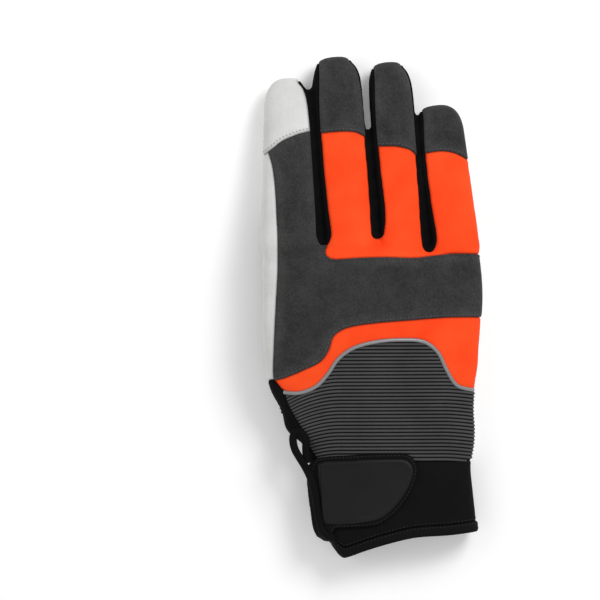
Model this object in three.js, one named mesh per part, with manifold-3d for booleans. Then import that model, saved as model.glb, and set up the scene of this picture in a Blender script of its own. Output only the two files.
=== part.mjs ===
// A right-hand work glove lying with the back of the hand up and its thumb tucked under the palm.
// Each panel of leather, cloth or knit is a thin wall with a gap along its seams, and the glove is
// hollow from the cuff to the fingertips. Millimetres, +Z up, fingers along +Y, resting on z = 0.
import * as THREE from "three";
import { mergeVertices } from "three/addons/utils/BufferGeometryUtils.js";
import Module from "manifold-3d";

const wasm = await Module();
wasm.setup();

// Palm, from the cuff seam at y = 0 to the finger crotches
const palmLength = 110.2;
const palmWidth = 114;
const palmDepth = 25;
const palmRoll = 10.5; // degrees that the thumb side is lifted by the thumb under it
const settle = 1; // how far the little-finger edge is pressed flat on the surface

// Cuff, measured on its long side
const cuffLength = 50.2;
const cuffWidth = 83;
const cuffDepth = 26;
const cuffSlant = 11.4; // degrees that the hem runs off square
const hemHeight = 5.2;
const hemRise = 0.8; // the hem stands this far out of the cuff

// Fingers: length beyond the crotches, width, taper to the tip, middle of the root across the palm
const fingers = {
  index: { length: 87, width: 30.2, taper: 0.17, root: -0.368, lean: -1.4, crotch: 0 },
  middle: { length: 98.6, width: 29.6, taper: 0.06, root: -0.109, lean: -4.2, crotch: 0 },
  ring: { length: 95.9, width: 25.4, taper: 0, root: 0.131, lean: -4.2, crotch: 0.034 },
  little: { length: 73.9, width: 28, taper: 0.13, root: 0.362, lean: -6.6, crotch: -0.025 },
};
const fingerDepth = 20;
const tipRest = 7.6; // height of a fingertip's middle
const tipRoll = 5;

// Thumb, measured from its root in the palm
const thumbLength = 120;
const thumbWidth = 30;
const thumbDepth = 18.5;
const thumbRoot = 0.0935; // place of the root along the palm
const thumbCrotch = 0.617; // place along the palm where the thumb comes free

// Walls and seams
const leather = 1.6;
const neoprene = 3;
const seamGap = 0.3;
const slitGap = 0.6; // between two fingers, and between thumb and palm
const slitStart = 1.5; // a slit starts this far beyond the crotch, inside the wall
const openReach = 6; // a hollow runs this far out of its open end
const lap = 0.4; // the cuff's hollow runs this far into the palm's
const pipingWidth = 2;
const pipingSink = 0.35;

// Wrist strap
const tabThickness = 2.2;
const panelThickness = 1.2;
const loopThickness = 2.2;

// Shapes of the sections: 2 is an ellipse, more is squarer
const palmSquareness = 3;
const fingerSquareness = 2.7;
const tipSquareness = 2.4;

// Number of points round a section and of sections along a form
const palmPoints = 28;
const fingerPoints = 16;
const pipingSides = 6;
const pipingSteps = 36;
const loopSides = 6;
const loopSteps = 20;
const roundOff = 0.16; // small facets up to this height are merged

// Heights that clear the glove
const skyHeight = 80;
const under = -5;

const radians = THREE.MathUtils.degToRad;

// A closed three.js geometry becomes a solid, turned so that its faces point out
function solid(geometry) {
  geometry.deleteAttribute("normal");
  geometry.deleteAttribute("uv");
  const merged = mergeVertices(geometry, 1e-4);
  const mesh = new wasm.Mesh({
    numProp: 3,
    vertProperties: new Float32Array(merged.attributes.position.array),
    triVerts: new Uint32Array(merged.index.array),
  });
  return new wasm.Manifold(mesh);
}

// Skins a row of rings with equally many points, and closes both ends with a fan
function loft(rings) {
  const positions = [];
  const index = [];
  const count = rings[0].length;
  for (const ring of rings) for (const p of ring) positions.push(p.x, p.y, p.z);
  for (let r = 0; r + 1 < rings.length; r++) {
    for (let i = 0; i < count; i++) {
      const j = (i + 1) % count;
      const a = r * count + i;
      const b = r * count + j;
      index.push(a, b, a + count, b, b + count, a + count);
    }
  }
  for (const [r, flip] of [[0, false], [rings.length - 1, true]]) {
    const middle = new THREE.Vector3();
    for (const p of rings[r]) middle.addScaledVector(p, 1 / count);
    const centre = positions.length / 3;
    positions.push(middle.x, middle.y, middle.z);
    for (let i = 0; i < count; i++) {
      const a = r * count + i;
      const b = r * count + ((i + 1) % count);
      index.push(...(flip ? [a, b, centre] : [b, a, centre]));
    }
  }
  const geometry = new THREE.BufferGeometry();
  geometry.setAttribute("position", new THREE.Float32BufferAttribute(positions, 3));
  geometry.setIndex(index);
  const body = solid(geometry);
  return body.volume() > 0 ? body : solid(turned(geometry));
}

function turned(geometry) {
  const faces = Array.from(geometry.index.array);
  for (let i = 0; i < faces.length; i += 3) {
    [faces[i], faces[i + 1]] = [faces[i + 1], faces[i]];
  }
  geometry.setIndex(faces);
  return geometry;
}

// Reads a table at any place along it, on a smooth curve through its rows
function reader(rows, places, columns) {
  const values = rows.flatMap((row) => columns.map((name) => row[name]));
  const curve = new THREE.CubicInterpolant(places, values, columns.length);
  return (place) => {
    const found = curve.evaluate(THREE.MathUtils.clamp(place, places[0], places.at(-1)));
    return Object.fromEntries(columns.map((name, i) => [name, found[i]]));
  };
}

// Cuff and palm as one form. along: share of the cuff or palm length. middle and width: shares of the
// cuff or palm width. depth: share of the cuff or palm depth. roll: share of the palm's roll.
const cuffRows = [
  { along: -1.3, middle: 0.235, width: 0.86, depth: 1.0, roll: 0.1 },
  { along: -1, middle: 0.217, width: 0.89, depth: 1.02, roll: 0.1 },
  { along: -0.87, middle: 0.178, width: 0.958, depth: 1.02, roll: 0.12 },
  { along: -0.72, middle: 0.148, width: 1.003, depth: 1.0, roll: 0.14 },
  { along: -0.4, middle: 0.124, width: 1.006, depth: 0.97, roll: 0.18 },
  { along: -0.04, middle: 0.112, width: 0.998, depth: 0.95, roll: 0.24 },
];
const palmRows = [
  { along: 0.07, middle: 0.076, width: 0.763, depth: 0.98, roll: 0.32 },
  { along: 0.14, middle: 0.04, width: 0.841, depth: 0.98, roll: 0.4 },
  { along: 0.234, middle: 0.025, width: 0.863, depth: 0.99, roll: 0.5 },
  { along: 0.342, middle: 0, width: 0.926, depth: 1.0, roll: 0.64 },
  { along: 0.468, middle: -0.004, width: 0.968, depth: 1.0, roll: 0.8 },
  { along: 0.6, middle: -0.006, width: 0.99, depth: 1.0, roll: 0.93 },
  { along: 0.773, middle: 0, width: 1.0, depth: 0.98, roll: 1.0 },
  { along: 0.95, middle: -0.006, width: 0.985, depth: 0.93, roll: 1.0 },
  { along: 1.08, middle: -0.006, width: 0.92, depth: 0.8, roll: 1.0 },
];
const bodySizes = [
  ...cuffRows.map((row) => ({
    y: row.along * cuffLength,
    middle: row.middle * cuffWidth,
    width: row.width * cuffWidth,
    depth: row.depth * cuffDepth,
    roll: row.roll * palmRoll,
  })),
  ...palmRows.map((row) => ({
    y: row.along * palmLength,
    middle: row.middle * palmWidth,
    width: row.width * palmWidth,
    depth: row.depth * palmDepth,
    roll: row.roll * palmRoll,
  })),
];
const bodyPlaces = bodySizes.map((row) => row.y);
const bodyAt = reader(bodySizes, bodyPlaces, ["middle", "width", "depth", "roll"]);

// Height of the middle of the hand, so that its low edge is pressed on the surface
function bodyHeight(y) {
  const size = bodyAt(y);
  return size.depth / 2 + Math.sin(radians(size.roll)) * size.width / 2 - settle;
}

function bodyFrame(y) {
  const size = bodyAt(y);
  return {
    x: size.middle,
    y,
    z: bodyHeight(y),
    turn: 0,
    roll: radians(size.roll),
    halfWidth: size.width / 2,
    halfDepth: size.depth / 2,
    squareness: palmSquareness,
  };
}

// Height of the seam between back and palm of the hand, at a place seen from above
function handMiddle(x, y) {
  const frame = bodyFrame(Math.min(y, palmLength));
  return frame.z - (x - frame.x) * Math.tan(frame.roll);
}

// Rounding of a finger's end: half width left at a place from 0, where it starts, to 1, the tip
function tipRound(place, squareness) {
  const t = THREE.MathUtils.clamp(place, 0, 1);
  return Math.pow(1 - Math.pow(t, squareness), 1 / squareness);
}

// A finger's middle line, width and depth. along is 0 at the crotches and 1 at the tip
const fingerRoundStart = 0.78;
function fingerFrame(finger, along) {
  const { length, width, taper, root, lean } = finger;
  const y = palmLength + along * length;
  const out = Math.max(along, 0);
  const x = root * palmWidth + Math.tan(radians(lean)) * out * length;
  const sink = Math.pow(THREE.MathUtils.clamp(along, 0, 1), 0.9);
  const rootHeight = handMiddle(x, palmLength);
  const round = (along - fingerRoundStart) / (1 - fingerRoundStart);
  const depthShare = along < 0 ? 1.1 + 0.9 * along : 1.1 - 0.25 * out;
  const rootShare = 1 + 0.5 * Math.min(along, 0);
  return {
    x,
    y,
    z: THREE.MathUtils.lerp(rootHeight, tipRest, sink),
    turn: radians(-lean) * Math.min(out / 0.2, 1),
    roll: radians(THREE.MathUtils.lerp(palmRoll, tipRoll, THREE.MathUtils.clamp(along, 0, 1))),
    halfWidth: (width / 2) * rootShare * (1 - taper * out) * tipRound(round, tipSquareness),
    halfDepth: (fingerDepth / 2) * depthShare * tipRound(round, 2.1),
    squareness: fingerSquareness,
  };
}

// The thumb's middle line. along: share of thumbLength. across: share of palmWidth. height and
// depth: shares of thumbDepth. width: share of thumbWidth.
const thumbRows = [
  { along: 0, across: -0.17, height: 0.86, width: 0.9, depth: 1.0 },
  { along: 0.172, across: -0.3, height: 0.72, width: 0.93, depth: 1.15 },
  { along: 0.386, across: -0.345, height: 0.52, width: 0.98, depth: 1.06 },
  { along: 0.6, across: -0.357, height: 0.48, width: 1.0, depth: 1.0 },
  { along: 0.816, across: -0.366, height: 0.46, width: 0.96, depth: 0.96 },
  { along: 1, across: -0.378, height: 0.42, width: 0.93, depth: 0.9 },
];
const thumbAt = reader(thumbRows, thumbRows.map((row) => row.along), ["across", "height", "width", "depth"]);
const thumbRoundStart = 0.84;
function thumbFrame(along) {
  const size = thumbAt(along);
  const ahead = thumbAt(along + 0.02);
  const behind = thumbAt(along - 0.02);
  const round = (along - thumbRoundStart) / (1 - thumbRoundStart);
  const step = THREE.MathUtils.clamp(along + 0.02, 0, 1) - THREE.MathUtils.clamp(along - 0.02, 0, 1);
  const run = (ahead.across - behind.across) * palmWidth;
  return {
    x: size.across * palmWidth,
    y: thumbRoot * palmLength + along * thumbLength,
    z: size.height * thumbDepth,
    turn: -Math.atan2(run, step * thumbLength),
    roll: 0,
    halfWidth: (size.width * thumbWidth / 2) * tipRound(round, tipSquareness),
    halfDepth: (size.depth * thumbDepth / 2) * tipRound(round, 2.1),
    squareness: fingerSquareness,
  };
}

// One ring of a form, drawn in by inset, and flat where it rests on the surface
function ringOf(frame, inset, count) {
  const halfWidth = Math.max(frame.halfWidth - inset, 0.05);
  const halfDepth = Math.max(frame.halfDepth - inset, 0.05);
  const ring = [];
  for (let i = 0; i < count; i++) {
    const angle = (2 * Math.PI * (i + 0.5)) / count;
    const power = 2 / frame.squareness;
    const u = halfWidth * Math.sign(Math.cos(angle)) * Math.pow(Math.abs(Math.cos(angle)), power);
    const w = halfDepth * Math.sign(Math.sin(angle)) * Math.pow(Math.abs(Math.sin(angle)), power);
    ring.push(placed(frame, u, w, Math.max(inset, 0)));
  }
  return ring;
}

// A point of a section: u across it, w up in it
function placed(frame, u, w, floor) {
  const across = u * Math.cos(frame.roll) + w * Math.sin(frame.roll);
  const up = -u * Math.sin(frame.roll) + w * Math.cos(frame.roll);
  return new THREE.Vector3(
    frame.x + across * Math.cos(frame.turn),
    frame.y + across * Math.sin(frame.turn),
    Math.max(frame.z + up, floor),
  );
}

// The cuff and palm, drawn in by inset. Its far end is drawn in too, and its open end runs on
function bodyForm(inset, openEnd = 0) {
  const last = bodyPlaces.at(-1);
  const rings = bodyPlaces.map((y) => {
    const frame = bodyFrame(y);
    return ringOf(y === last ? { ...frame, y: y - inset } : frame, inset, palmPoints);
  });
  const start = bodyFrame(bodyPlaces[0]);
  rings.unshift(ringOf({ ...start, y: start.y - seamGap - openEnd }, inset, palmPoints));
  return loft(rings);
}

const fingerSteps = [-0.22, 0, 0.2, 0.4, 0.6, 0.78, 0.86, 0.92, 0.96, 0.985, 0.998];
function fingerForm(finger, inset) {
  const reach = 1 - inset / finger.length;
  return loft(fingerSteps.map((step) => {
    const along = step > 0 ? step * reach : step;
    const frame = fingerFrame(finger, along);
    const shape = fingerFrame(finger, step);
    const sized = { ...frame, halfWidth: shape.halfWidth, halfDepth: shape.halfDepth };
    return ringOf(sized, inset * Math.min(1, shape.halfDepth * 2 / fingerDepth), fingerPoints);
  }));
}

const thumbSteps = [0, 0.09, 0.18, 0.28, 0.39, 0.5, 0.62, 0.74, 0.84, 0.9, 0.94, 0.97, 0.988, 0.998];
function thumbForm(inset) {
  const reach = 1 - inset / thumbLength;
  return loft(thumbSteps.map((step) => {
    const frame = thumbFrame(step * reach);
    const shape = thumbFrame(step);
    const sized = { ...frame, halfWidth: shape.halfWidth, halfDepth: shape.halfDepth };
    return ringOf(sized, inset * Math.min(1, shape.halfDepth * 2 / thumbDepth), fingerPoints);
  }));
}

// A thin upright cut along a line of points, from one height to another. lean tilts it with the hand
function cut(points, width, low, high, lean = 0) {
  const rings = points.map((p, i) => {
    const before = points[Math.max(i - 1, 0)];
    const after = points[Math.min(i + 1, points.length - 1)];
    const side = new THREE.Vector2(after.y - before.y, before.x - after.x).normalize();
    side.multiplyScalar(width / 2);
    const bottom = low(p);
    const top = high(p);
    const shift = (z) => (z - (p.level ?? top)) * lean;
    return [
      new THREE.Vector3(p.x - side.x + shift(bottom), p.y - side.y, bottom),
      new THREE.Vector3(p.x + side.x + shift(bottom), p.y + side.y, bottom),
      new THREE.Vector3(p.x + side.x + shift(top), p.y + side.y, top),
      new THREE.Vector3(p.x - side.x + shift(top), p.y - side.y, top),
    ];
  });
  return loft(rings);
}

// A smooth line in plan through a few points
function smoothLine(points, steps) {
  const curve = new THREE.SplineCurve(points.map((p) => new THREE.Vector2(p.x, p.y)));
  return curve.getSpacedPoints(steps);
}

// A place on the hand from shares of the palm: across from its middle, along from the cuff seam
function onPalm(across, along) {
  return { x: across * palmWidth, y: along * palmLength };
}

function palmLine(rows, steps) {
  return smoothLine(rows.map(([across, along]) => onPalm(across, along)), steps);
}

// A place on a finger from shares of its own width and length
function onFinger(finger, across, along) {
  const frame = fingerFrame(finger, along);
  const width = finger.width * (1 - finger.taper * Math.max(along, 0));
  return {
    x: frame.x + across * width * Math.cos(frame.turn),
    y: frame.y + across * width * Math.sin(frame.turn),
  };
}

function fingerLine(finger, rows, steps) {
  return smoothLine(rows.map(([across, along]) => onFinger(finger, across, along)), steps);
}

// Edges of the back panel of a finger: how far in they lie, as shares of the width
const edgeRows = [
  { along: 0.1, left: 0.2, right: 0.13 },
  { along: 0.3, left: 0.16, right: 0.115 },
  { along: 0.5, left: 0.155, right: 0.115 },
  { along: 0.7, left: 0.155, right: 0.12 },
  { along: 0.86, left: 0.16, right: 0.13 },
  { along: 0.93, left: 0.17, right: 0.14 },
];
function panelEdge(finger, side) {
  return edgeRows.map((row) => {
    const frame = fingerFrame(finger, row.along);
    const across = side * (1 - 2 * (side > 0 ? row.right : row.left)) * frame.halfWidth;
    return { x: frame.x + across * Math.cos(frame.turn), y: frame.y + across * Math.sin(frame.turn) };
  });
}

// The outline of the strip between two fingers: up one finger's edge, round the crotch, up the other's
const outward = 0.16; // how far it runs past the fingertip, as a share of the length
function stripLine(left, right, crotch) {
  const leftEdge = panelEdge(left, 1);
  const rightEdge = panelEdge(right, -1);
  const end = { x: (leftEdge[0].x + rightEdge[0].x) / 2, y: palmLength * (1 + crotch) };
  const tipLeft = { x: leftEdge.at(-1).x, y: leftEdge.at(-1).y + outward * left.length };
  const tipRight = { x: rightEdge.at(-1).x, y: rightEdge.at(-1).y + outward * right.length };
  const round = { x: (rightEdge[0].x - leftEdge[0].x) * 0.3, y: 1.2 };
  const turn = [
    { x: end.x - round.x, y: end.y + round.y },
    end,
    { x: end.x + round.x, y: end.y + round.y },
  ];
  return smoothLine([tipLeft, ...leftEdge.toReversed(), ...turn, ...rightEdge, tipRight], 34);
}

// Height of the seam line between back and palm, on the hand and on its fingers
function seamHeight(p) {
  if (p.y <= palmLength) return handMiddle(p.x, p.y);
  const frames = order.map((finger) => fingerFrame(finger, (p.y - palmLength) / finger.length));
  const near = frames.sort((a, b) => Math.abs(a.x - p.x) - Math.abs(b.x - p.x))[0];
  return near.z - (p.x - near.x) * Math.tan(near.roll);
}
const sky = () => skyHeight;
const ground = () => under;
const rollSlope = Math.tan(radians(palmRoll));
const stripLean = 0.33;

// Fingers in order, with the line where two of them touch
const order = Object.values(fingers);
const pairs = [[0, 1], [1, 2], [2, 3]].map(([a, b]) => ({
  left: order[a],
  right: order[b],
  crotch: order[b].crotch,
}));

function touchLine(pair, start) {
  const shares = [0, 0.2, 0.45, 0.7, 0.95];
  const line = shares.map((share) => {
    const y = Math.max(palmLength + share * Math.min(pair.left.length, pair.right.length), start);
    const a = fingerFrame(pair.left, (y - palmLength) / pair.left.length);
    const b = fingerFrame(pair.right, (y - palmLength) / pair.right.length);
    return { x: (a.x + a.halfWidth + b.x - b.halfWidth) / 2, y };
  });
  line[0].y = start;
  const last = line.at(-1);
  line.push({ x: last.x, y: last.y + outward * pair.left.length * 2 });
  return line;
}

function slits(width, start) {
  const made = pairs.map((pair) => {
    const crotch = palmLength * (1 + pair.crotch) + start;
    return cut(touchLine(pair, crotch), width, ground, sky);
  });
  return wasm.Manifold.union(made);
}

// The hand with its fingers as one hollow wall, open at the cuff
function handForm(inset, openEnd) {
  const parts = [bodyForm(inset, openEnd), ...order.map((finger) => fingerForm(finger, inset))];
  return wasm.Manifold.union(parts);
}
const outerHand = handForm(0).subtract(slits(slitGap, slitStart + leather));
const cuffSide = cut([{ x: 0, y: -cuffLength * 3 }, { x: 0, y: 0 }], 3 * palmWidth, ground, sky);
const cuffCavity = bodyForm(neoprene, openReach).intersect(cuffSide);
const palmCavity = handForm(leather, openReach).subtract(slits(slitGap + 2 * leather, slitStart));
const innerHand = palmCavity.subtract(cuffSide).add(cuffCavity.translate([0, lap, 0]));

// The thumb stall, pressed flat under the palm, and open into it below its crotch
const crotchY = thumbCrotch * palmLength;
const pressed = wasm.Manifold.union([
  bodyForm(-slitGap),
  fingerForm(fingers.index, -slitGap),
  fingerForm(fingers.middle, -slitGap),
]);
const pressedInside = wasm.Manifold.union([
  bodyForm(-slitGap - leather),
  fingerForm(fingers.index, -slitGap - leather),
]);
const belowCrotch = cut(
  [{ x: 0, y: -cuffLength }, { x: 0, y: crotchY - leather }],
  2 * palmWidth,
  ground,
  sky,
);
const thumbCavity = thumbForm(leather);
const thumbInside = thumbCavity.intersect(belowCrotch).add(thumbCavity.subtract(pressedInside));
const thumbShell = thumbForm(0).subtract(pressed).subtract(thumbInside);
const thumbHole = thumbCavity.intersect(belowCrotch);

// The stall's seam: knit on its outer side, leather on the rest
const knitShare = 0.2; // the seam lies this share of the width outside the middle
const thumbSeamLine = Array.from({ length: 16 }, (_, i) => {
  const frame = thumbFrame(-0.1 + i * 0.08);
  const out = knitShare * thumbWidth;
  return {
    x: frame.x - out * Math.cos(frame.turn),
    y: frame.y - out * Math.sin(frame.turn) + (i === 15 ? thumbWidth : 0) - (i === 0 ? thumbWidth : 0),
  };
});
const thumbParts = thumbShell.subtract(cut(thumbSeamLine, seamGap, ground, sky)).decompose()
  .sort((a, b) => b.volume() - a.volume());

// The cuff seam, the slanted end and the hem line
const slant = Math.tan(radians(cuffSlant));
const longSide = -0.27; // share of cuffWidth at which cuffLength is measured
function beyond(offset) {
  const y = (x) => -cuffLength * 1.5 + offset + (x - longSide * cuffWidth) * slant;
  const line = [{ x: -cuffWidth, y: y(-cuffWidth) }, { x: cuffWidth, y: y(cuffWidth) }];
  return cut(line, cuffLength * Math.cos(radians(cuffSlant)), ground, sky);
}
const beyondCuff = beyond(0);
const beyondHem = beyond(hemHeight);
const beyondHemGap = beyond(hemHeight + seamGap);

// Leather below the cuff seam on the thumb side of the palm
const heelRows = [[-0.6, -0.003], [-0.25, -0.003], [-0.225, -0.03], [-0.21, -0.1355], [-0.048, -0.07], [-0.003, -0.003], [0.6, -0.003]];
const cuffSeamTop = [onPalm(-0.6, -0.003), onPalm(0.6, -0.003)];
const cuffSeamUnder = heelRows.map(([across, along]) => onPalm(across, along));

// Seams on the back of the hand. Pairs are shares across and along the palm
const knuckleSeam = [
  [-0.225, 1.06], [-0.2105, 1.0], [-0.217, 0.975], [-0.208, 0.95], [-0.179, 0.936], [-0.0795, 0.942],
  [0.056, 0.946], [0.1915, 0.943], [0.268, 0.953], [0.372, 0.9635], [0.56, 0.958],
];
const guardSeam = [
  [0.56, 0.668], [0.3495, 0.668], [0.169, 0.655], [-0.012, 0.639], [-0.1247, 0.617], [-0.179, 0.579],
  [-0.2015, 0.514], [-0.2375, 0.4626], [-0.319, 0.4206], [-0.3957, 0.3879], [-0.455, 0.372],
];
const pipingSeam = [
  [-0.3957, 0.32], [-0.328, 0.318], [-0.2556, 0.348], [-0.206, 0.402], [-0.156, 0.4766], [-0.0885, 0.5257],
  [0.0108, 0.5537], [0.1238, 0.563], [0.2276, 0.5537], [0.2909, 0.5047], [0.327, 0.43], [0.3677, 0.36],
  [0.3993, 0.3388], [0.48, 0.3248],
];
const stripSeamPalm = [[-0.4273, 0.888], [-0.434, 0.7477], [-0.4408, 0.6075], [-0.4476, 0.4206], [-0.445, 0.378]];
const stripSeamFinger = [[-0.45, 0.555], [-0.37, 0.521], [-0.315, 0.45], [-0.27, 0.331], [-0.244, 0.184], [-0.224, 0.036]];
const stripEnd = [[-0.56, 0.345], [-0.5176, 0.36], [-0.445, 0.38]];
const knitTop = [[-0.4453, 0.379], [-0.4137, 0.338], [-0.391, 0.32]];
const ribSide = [
  [-0.3957, 0.322], [-0.382, 0.271], [-0.3595, 0.224], [-0.3324, 0.1776], [-0.31, 0.131], [-0.278, 0.056],
  [-0.2376, -0.01],
];

// Cap seams on the fingers. Pairs are shares across and along each finger
const capSeams = {
  index: [[0.5, 0.69], [0.235, 0.669], [0.035, 0.648], [-0.16, 0.621], [-0.33, 0.58], [-0.62, 0.51]],
  middle: [[-0.5, 0.6], [-0.1, 0.603], [0.165, 0.6], [0.31, 0.59], [0.5, 0.55]],
  ring: [[-0.5, 0.55], [0.016, 0.54], [0.22, 0.527], [0.346, 0.51], [0.5, 0.45]],
  little: [[-0.5, 0.67], [-0.04, 0.675], [0.17, 0.662], [0.33, 0.638], [0.62, 0.56]],
};
// Pad seams under the fingers, as shares along each finger
const padSeams = {
  index: [0.38, 0.13],
  middle: [0.47, 0.24],
  ring: [0.446, 0.21],
  little: [0.42, 0.18],
};

// Seams in the palm
const thumbSeam = [
  [-0.62, 0.617], [-0.345, 0.62], [-0.235, 0.6], [-0.138, 0.561], [-0.0885, 0.49], [-0.057, 0.388],
  [-0.0614, 0.285], [-0.108, 0.196],
];
const heelTop = [[-0.6, 0.03], [-0.36, 0.03], [-0.3, 0.04], [-0.215, 0.117], [-0.108, 0.196]];
const heelSide = [[-0.108, 0.196], [-0.075, 0.0654], [-0.048, -0.07]];
const knitUnder = [[-0.25, 0.33], [-0.16, 0.24], [-0.102, 0.191]];
const knitCrotch = [[-0.345, 0.5], [-0.345, 0.626]];
const palmMiddle = [[0.0244, 1.06], [0.038, 0.869], [0.0334, 0.673], [-0.0072, 0.4766], [-0.0614, 0.285]];

function topCut(points, width = seamGap) {
  return cut(points, width, (p) => seamHeight(p) - seamGap / 2, sky);
}

function underCut(points, width = seamGap) {
  return cut(points, width, ground, (p) => seamHeight(p) + seamGap / 2);
}

// The seam between back and palm: a thin slice along the middle of a form
function slice(frames) {
  return loft(frames.map((frame) => {
    const half = frame.halfWidth + 4;
    return [[-half, -seamGap / 2], [half, -seamGap / 2], [half, seamGap / 2], [-half, seamGap / 2]]
      .map(([u, w]) => placed(frame, u, w, under));
  }));
}

function fingerSlice(finger) {
  const steps = Array.from({ length: 13 }, (_, i) => -0.002 + i * 0.0885);
  return slice(steps.map((along) => {
    const frame = fingerFrame(finger, along);
    return { ...frame, halfWidth: finger.width * 0.45 };
  }));
}

const stripLines = pairs.map((pair) => stripLine(pair.left, pair.right, pair.crotch));
function pairLevel(pair, y) {
  const along = THREE.MathUtils.clamp((y - palmLength) / pair.left.length, 0, 1);
  return fingerFrame(pair.left, along).z + fingerDepth / 2;
}
function stripCut(pair, line) {
  const leveled = line.map((p) => ({ x: p.x, y: p.y, level: pairLevel(pair, p.y) }));
  return cut(leveled, seamGap, ground, sky, rollSlope * stripLean);
}
function stripZone(pair, line) {
  const shape = new THREE.Shape(line.map((p) => new THREE.Vector2(p.x, p.y)));
  const block = new THREE.ExtrudeGeometry(shape, { depth: skyHeight - under, bevelEnabled: false });
  block.translate(0, 0, under);
  const place = block.attributes.position;
  for (let i = 0; i < place.count; i++) {
    const shift = (place.getZ(i) - pairLevel(pair, place.getY(i))) * rollSlope * stripLean;
    place.setX(i, place.getX(i) + shift);
  }
  return solid(block);
}

const bodySliceSteps = Array.from({ length: 15 }, (_, i) => (-0.05 + i * 0.075) * palmLength);
const bodySlice = slice(bodySliceSteps.map((y) => bodyFrame(y)));
const knitZone = cut(
  [onPalm(-0.5, 0.36), onPalm(-0.5, 0.06)],
  palmWidth * 0.5,
  ground,
  sky,
);
const stripZones = wasm.Manifold.union(pairs.map((pair, i) => stripZone(pair, stripLines[i])));
const sideSeam = wasm.Manifold.union([bodySlice.subtract(knitZone), ...order.map(fingerSlice)])
  .subtract(stripZones);

const capCuts = Object.entries(capSeams).map(([name, rows]) => topCut(fingerLine(fingers[name], rows, 10)));
const padCuts = Object.entries(padSeams).flatMap(([name, places]) => places.map((along) => {
  const rows = [[-0.56, along - 0.02], [0, along], [0.56, along - 0.02]];
  return underCut(fingerLine(fingers[name], rows, 10));
}));

const stripSeam = smoothLine([
  ...stripSeamFinger.map(([across, along]) => onFinger(fingers.index, across, along)),
  ...stripSeamPalm.map(([across, along]) => onPalm(across, along)),
], 18);

const topCuts = wasm.Manifold.union([
  topCut(palmLine(knuckleSeam, 24)).subtract(stripZones),
  topCut(palmLine(guardSeam, 24)),
  topCut(palmLine(pipingSeam, 30), pipingWidth + 3 * seamGap),
  topCut(stripSeam),
  topCut(palmLine(stripEnd, 4)),
  topCut(palmLine(knitTop, 5)),
  topCut(palmLine(ribSide, 12)),
  ...capCuts.map((piece) => piece.subtract(stripZones)),
]);
const underCuts = wasm.Manifold.union([
  underCut(palmLine(thumbSeam, 18)),
  underCut(palmLine(heelTop, 8)),
  underCut(palmLine(heelSide, 5)),
  underCut(palmLine(knitUnder, 5)),
  underCut(palmLine(knitCrotch, 2)),
  underCut(palmLine(palmMiddle, 12)).subtract(stripZones),
  ...padCuts.map((piece) => piece.subtract(stripZones)),
]);
const wristCuts = wasm.Manifold.union([
  topCut(cuffSeamTop),
  underCut(cuffSeamUnder),
]);
const stripCuts = wasm.Manifold.union(pairs.map((pair, i) => stripCut(pair, stripLines[i])));

// What is left of the hollow wall falls apart into its panels
const wall = outerHand.subtract(innerHand).subtract(thumbHole).subtract(beyondCuff);
const pieces = wall.subtract(topCuts).subtract(underCuts).subtract(wristCuts).subtract(stripCuts)
  .subtract(sideSeam).decompose();

// The glove's top surface over a place on the palm or the cuff
function topOf(p) {
  const frame = bodyFrame(p.y);
  const round = frame.squareness;
  let u = p.x - frame.x;
  let w = 0;
  for (let turn = 0; turn < 6; turn++) {
    const share = Math.min(Math.abs(u) / frame.halfWidth, 1);
    w = frame.halfDepth * Math.pow(1 - Math.pow(share, round), 1 / round);
    u = (p.x - frame.x - w * Math.sin(frame.roll)) / Math.cos(frame.roll);
  }
  return frame.z - u * Math.sin(frame.roll) + w * Math.cos(frame.roll);
}

// A skin over the hand, between two heights above it, inside an outline seen from above
function skin(outline, low, high, floor) {
  const shape = new THREE.Shape(outline.map((p) => new THREE.Vector2(p.x, p.y)));
  const block = new THREE.ExtrudeGeometry(shape, { depth: skyHeight, bevelEnabled: false });
  const zone = solid(block.translate(0, 0, floor));
  return bodyForm(-high, openReach).subtract(bodyForm(-low, openReach)).intersect(zone);
}

// Strap outlines. Pairs are shares of the cuff width across and of the cuff length along
const tabRows = [
  [-0.43, -0.03], [-0.326, 0.031], [-0.078, 0.0615], [0.17, 0.072], [0.232, 0.046], [0.269, -0.041],
  [0.2754, -0.113], [0.2444, -0.287], [0.1824, -0.451], [0.1017, -0.585], [0.0149, -0.6615],
  [-0.171, -0.687], [-0.235, -0.7], [-0.2457, -0.82], [-0.33, -0.8], [-0.43, -0.7],
];
const panelRows = [
  [-0.3, -0.01], [-0.078, 0.01], [0.17, 0.02], [0.22, -0.01], [0.2444, -0.072], [0.2444, -0.154],
  [0.1886, -0.359], [0.083, -0.554], [-0.016, -0.62], [-0.27, -0.665],
];
const onCuff = ([across, along]) => ({ x: across * cuffWidth, y: along * cuffLength });
const tabStart = seamGap;
const panelStart = tabStart + tabThickness + seamGap;
const strapTab = skin(tabRows.map(onCuff), tabStart, tabStart + tabThickness, bodyHeight(0));
const strapPanel = skin(panelRows.map(onCuff), panelStart, panelStart + panelThickness, bodyHeight(0));

// A cord of round section along a line of places in space
function cord(points, width, sides, steps, closed = false) {
  const path = new THREE.CatmullRomCurve3(points, closed);
  const section = new THREE.Shape(new THREE.EllipseCurve(0, 0, width / 2, width / 2).getPoints(sides).slice(0, -1));
  return solid(new THREE.ExtrudeGeometry(section, { steps, extrudePath: path, bevelEnabled: false }));
}

const pipingLine = palmLine(pipingSeam.with(-1, [0.442, 0.326]), 30);
const piping = cord(
  pipingLine.map((p) => new THREE.Vector3(p.x, p.y, topOf(p) - pipingSink)),
  pipingWidth, pipingSides, pipingSteps,
);

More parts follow.
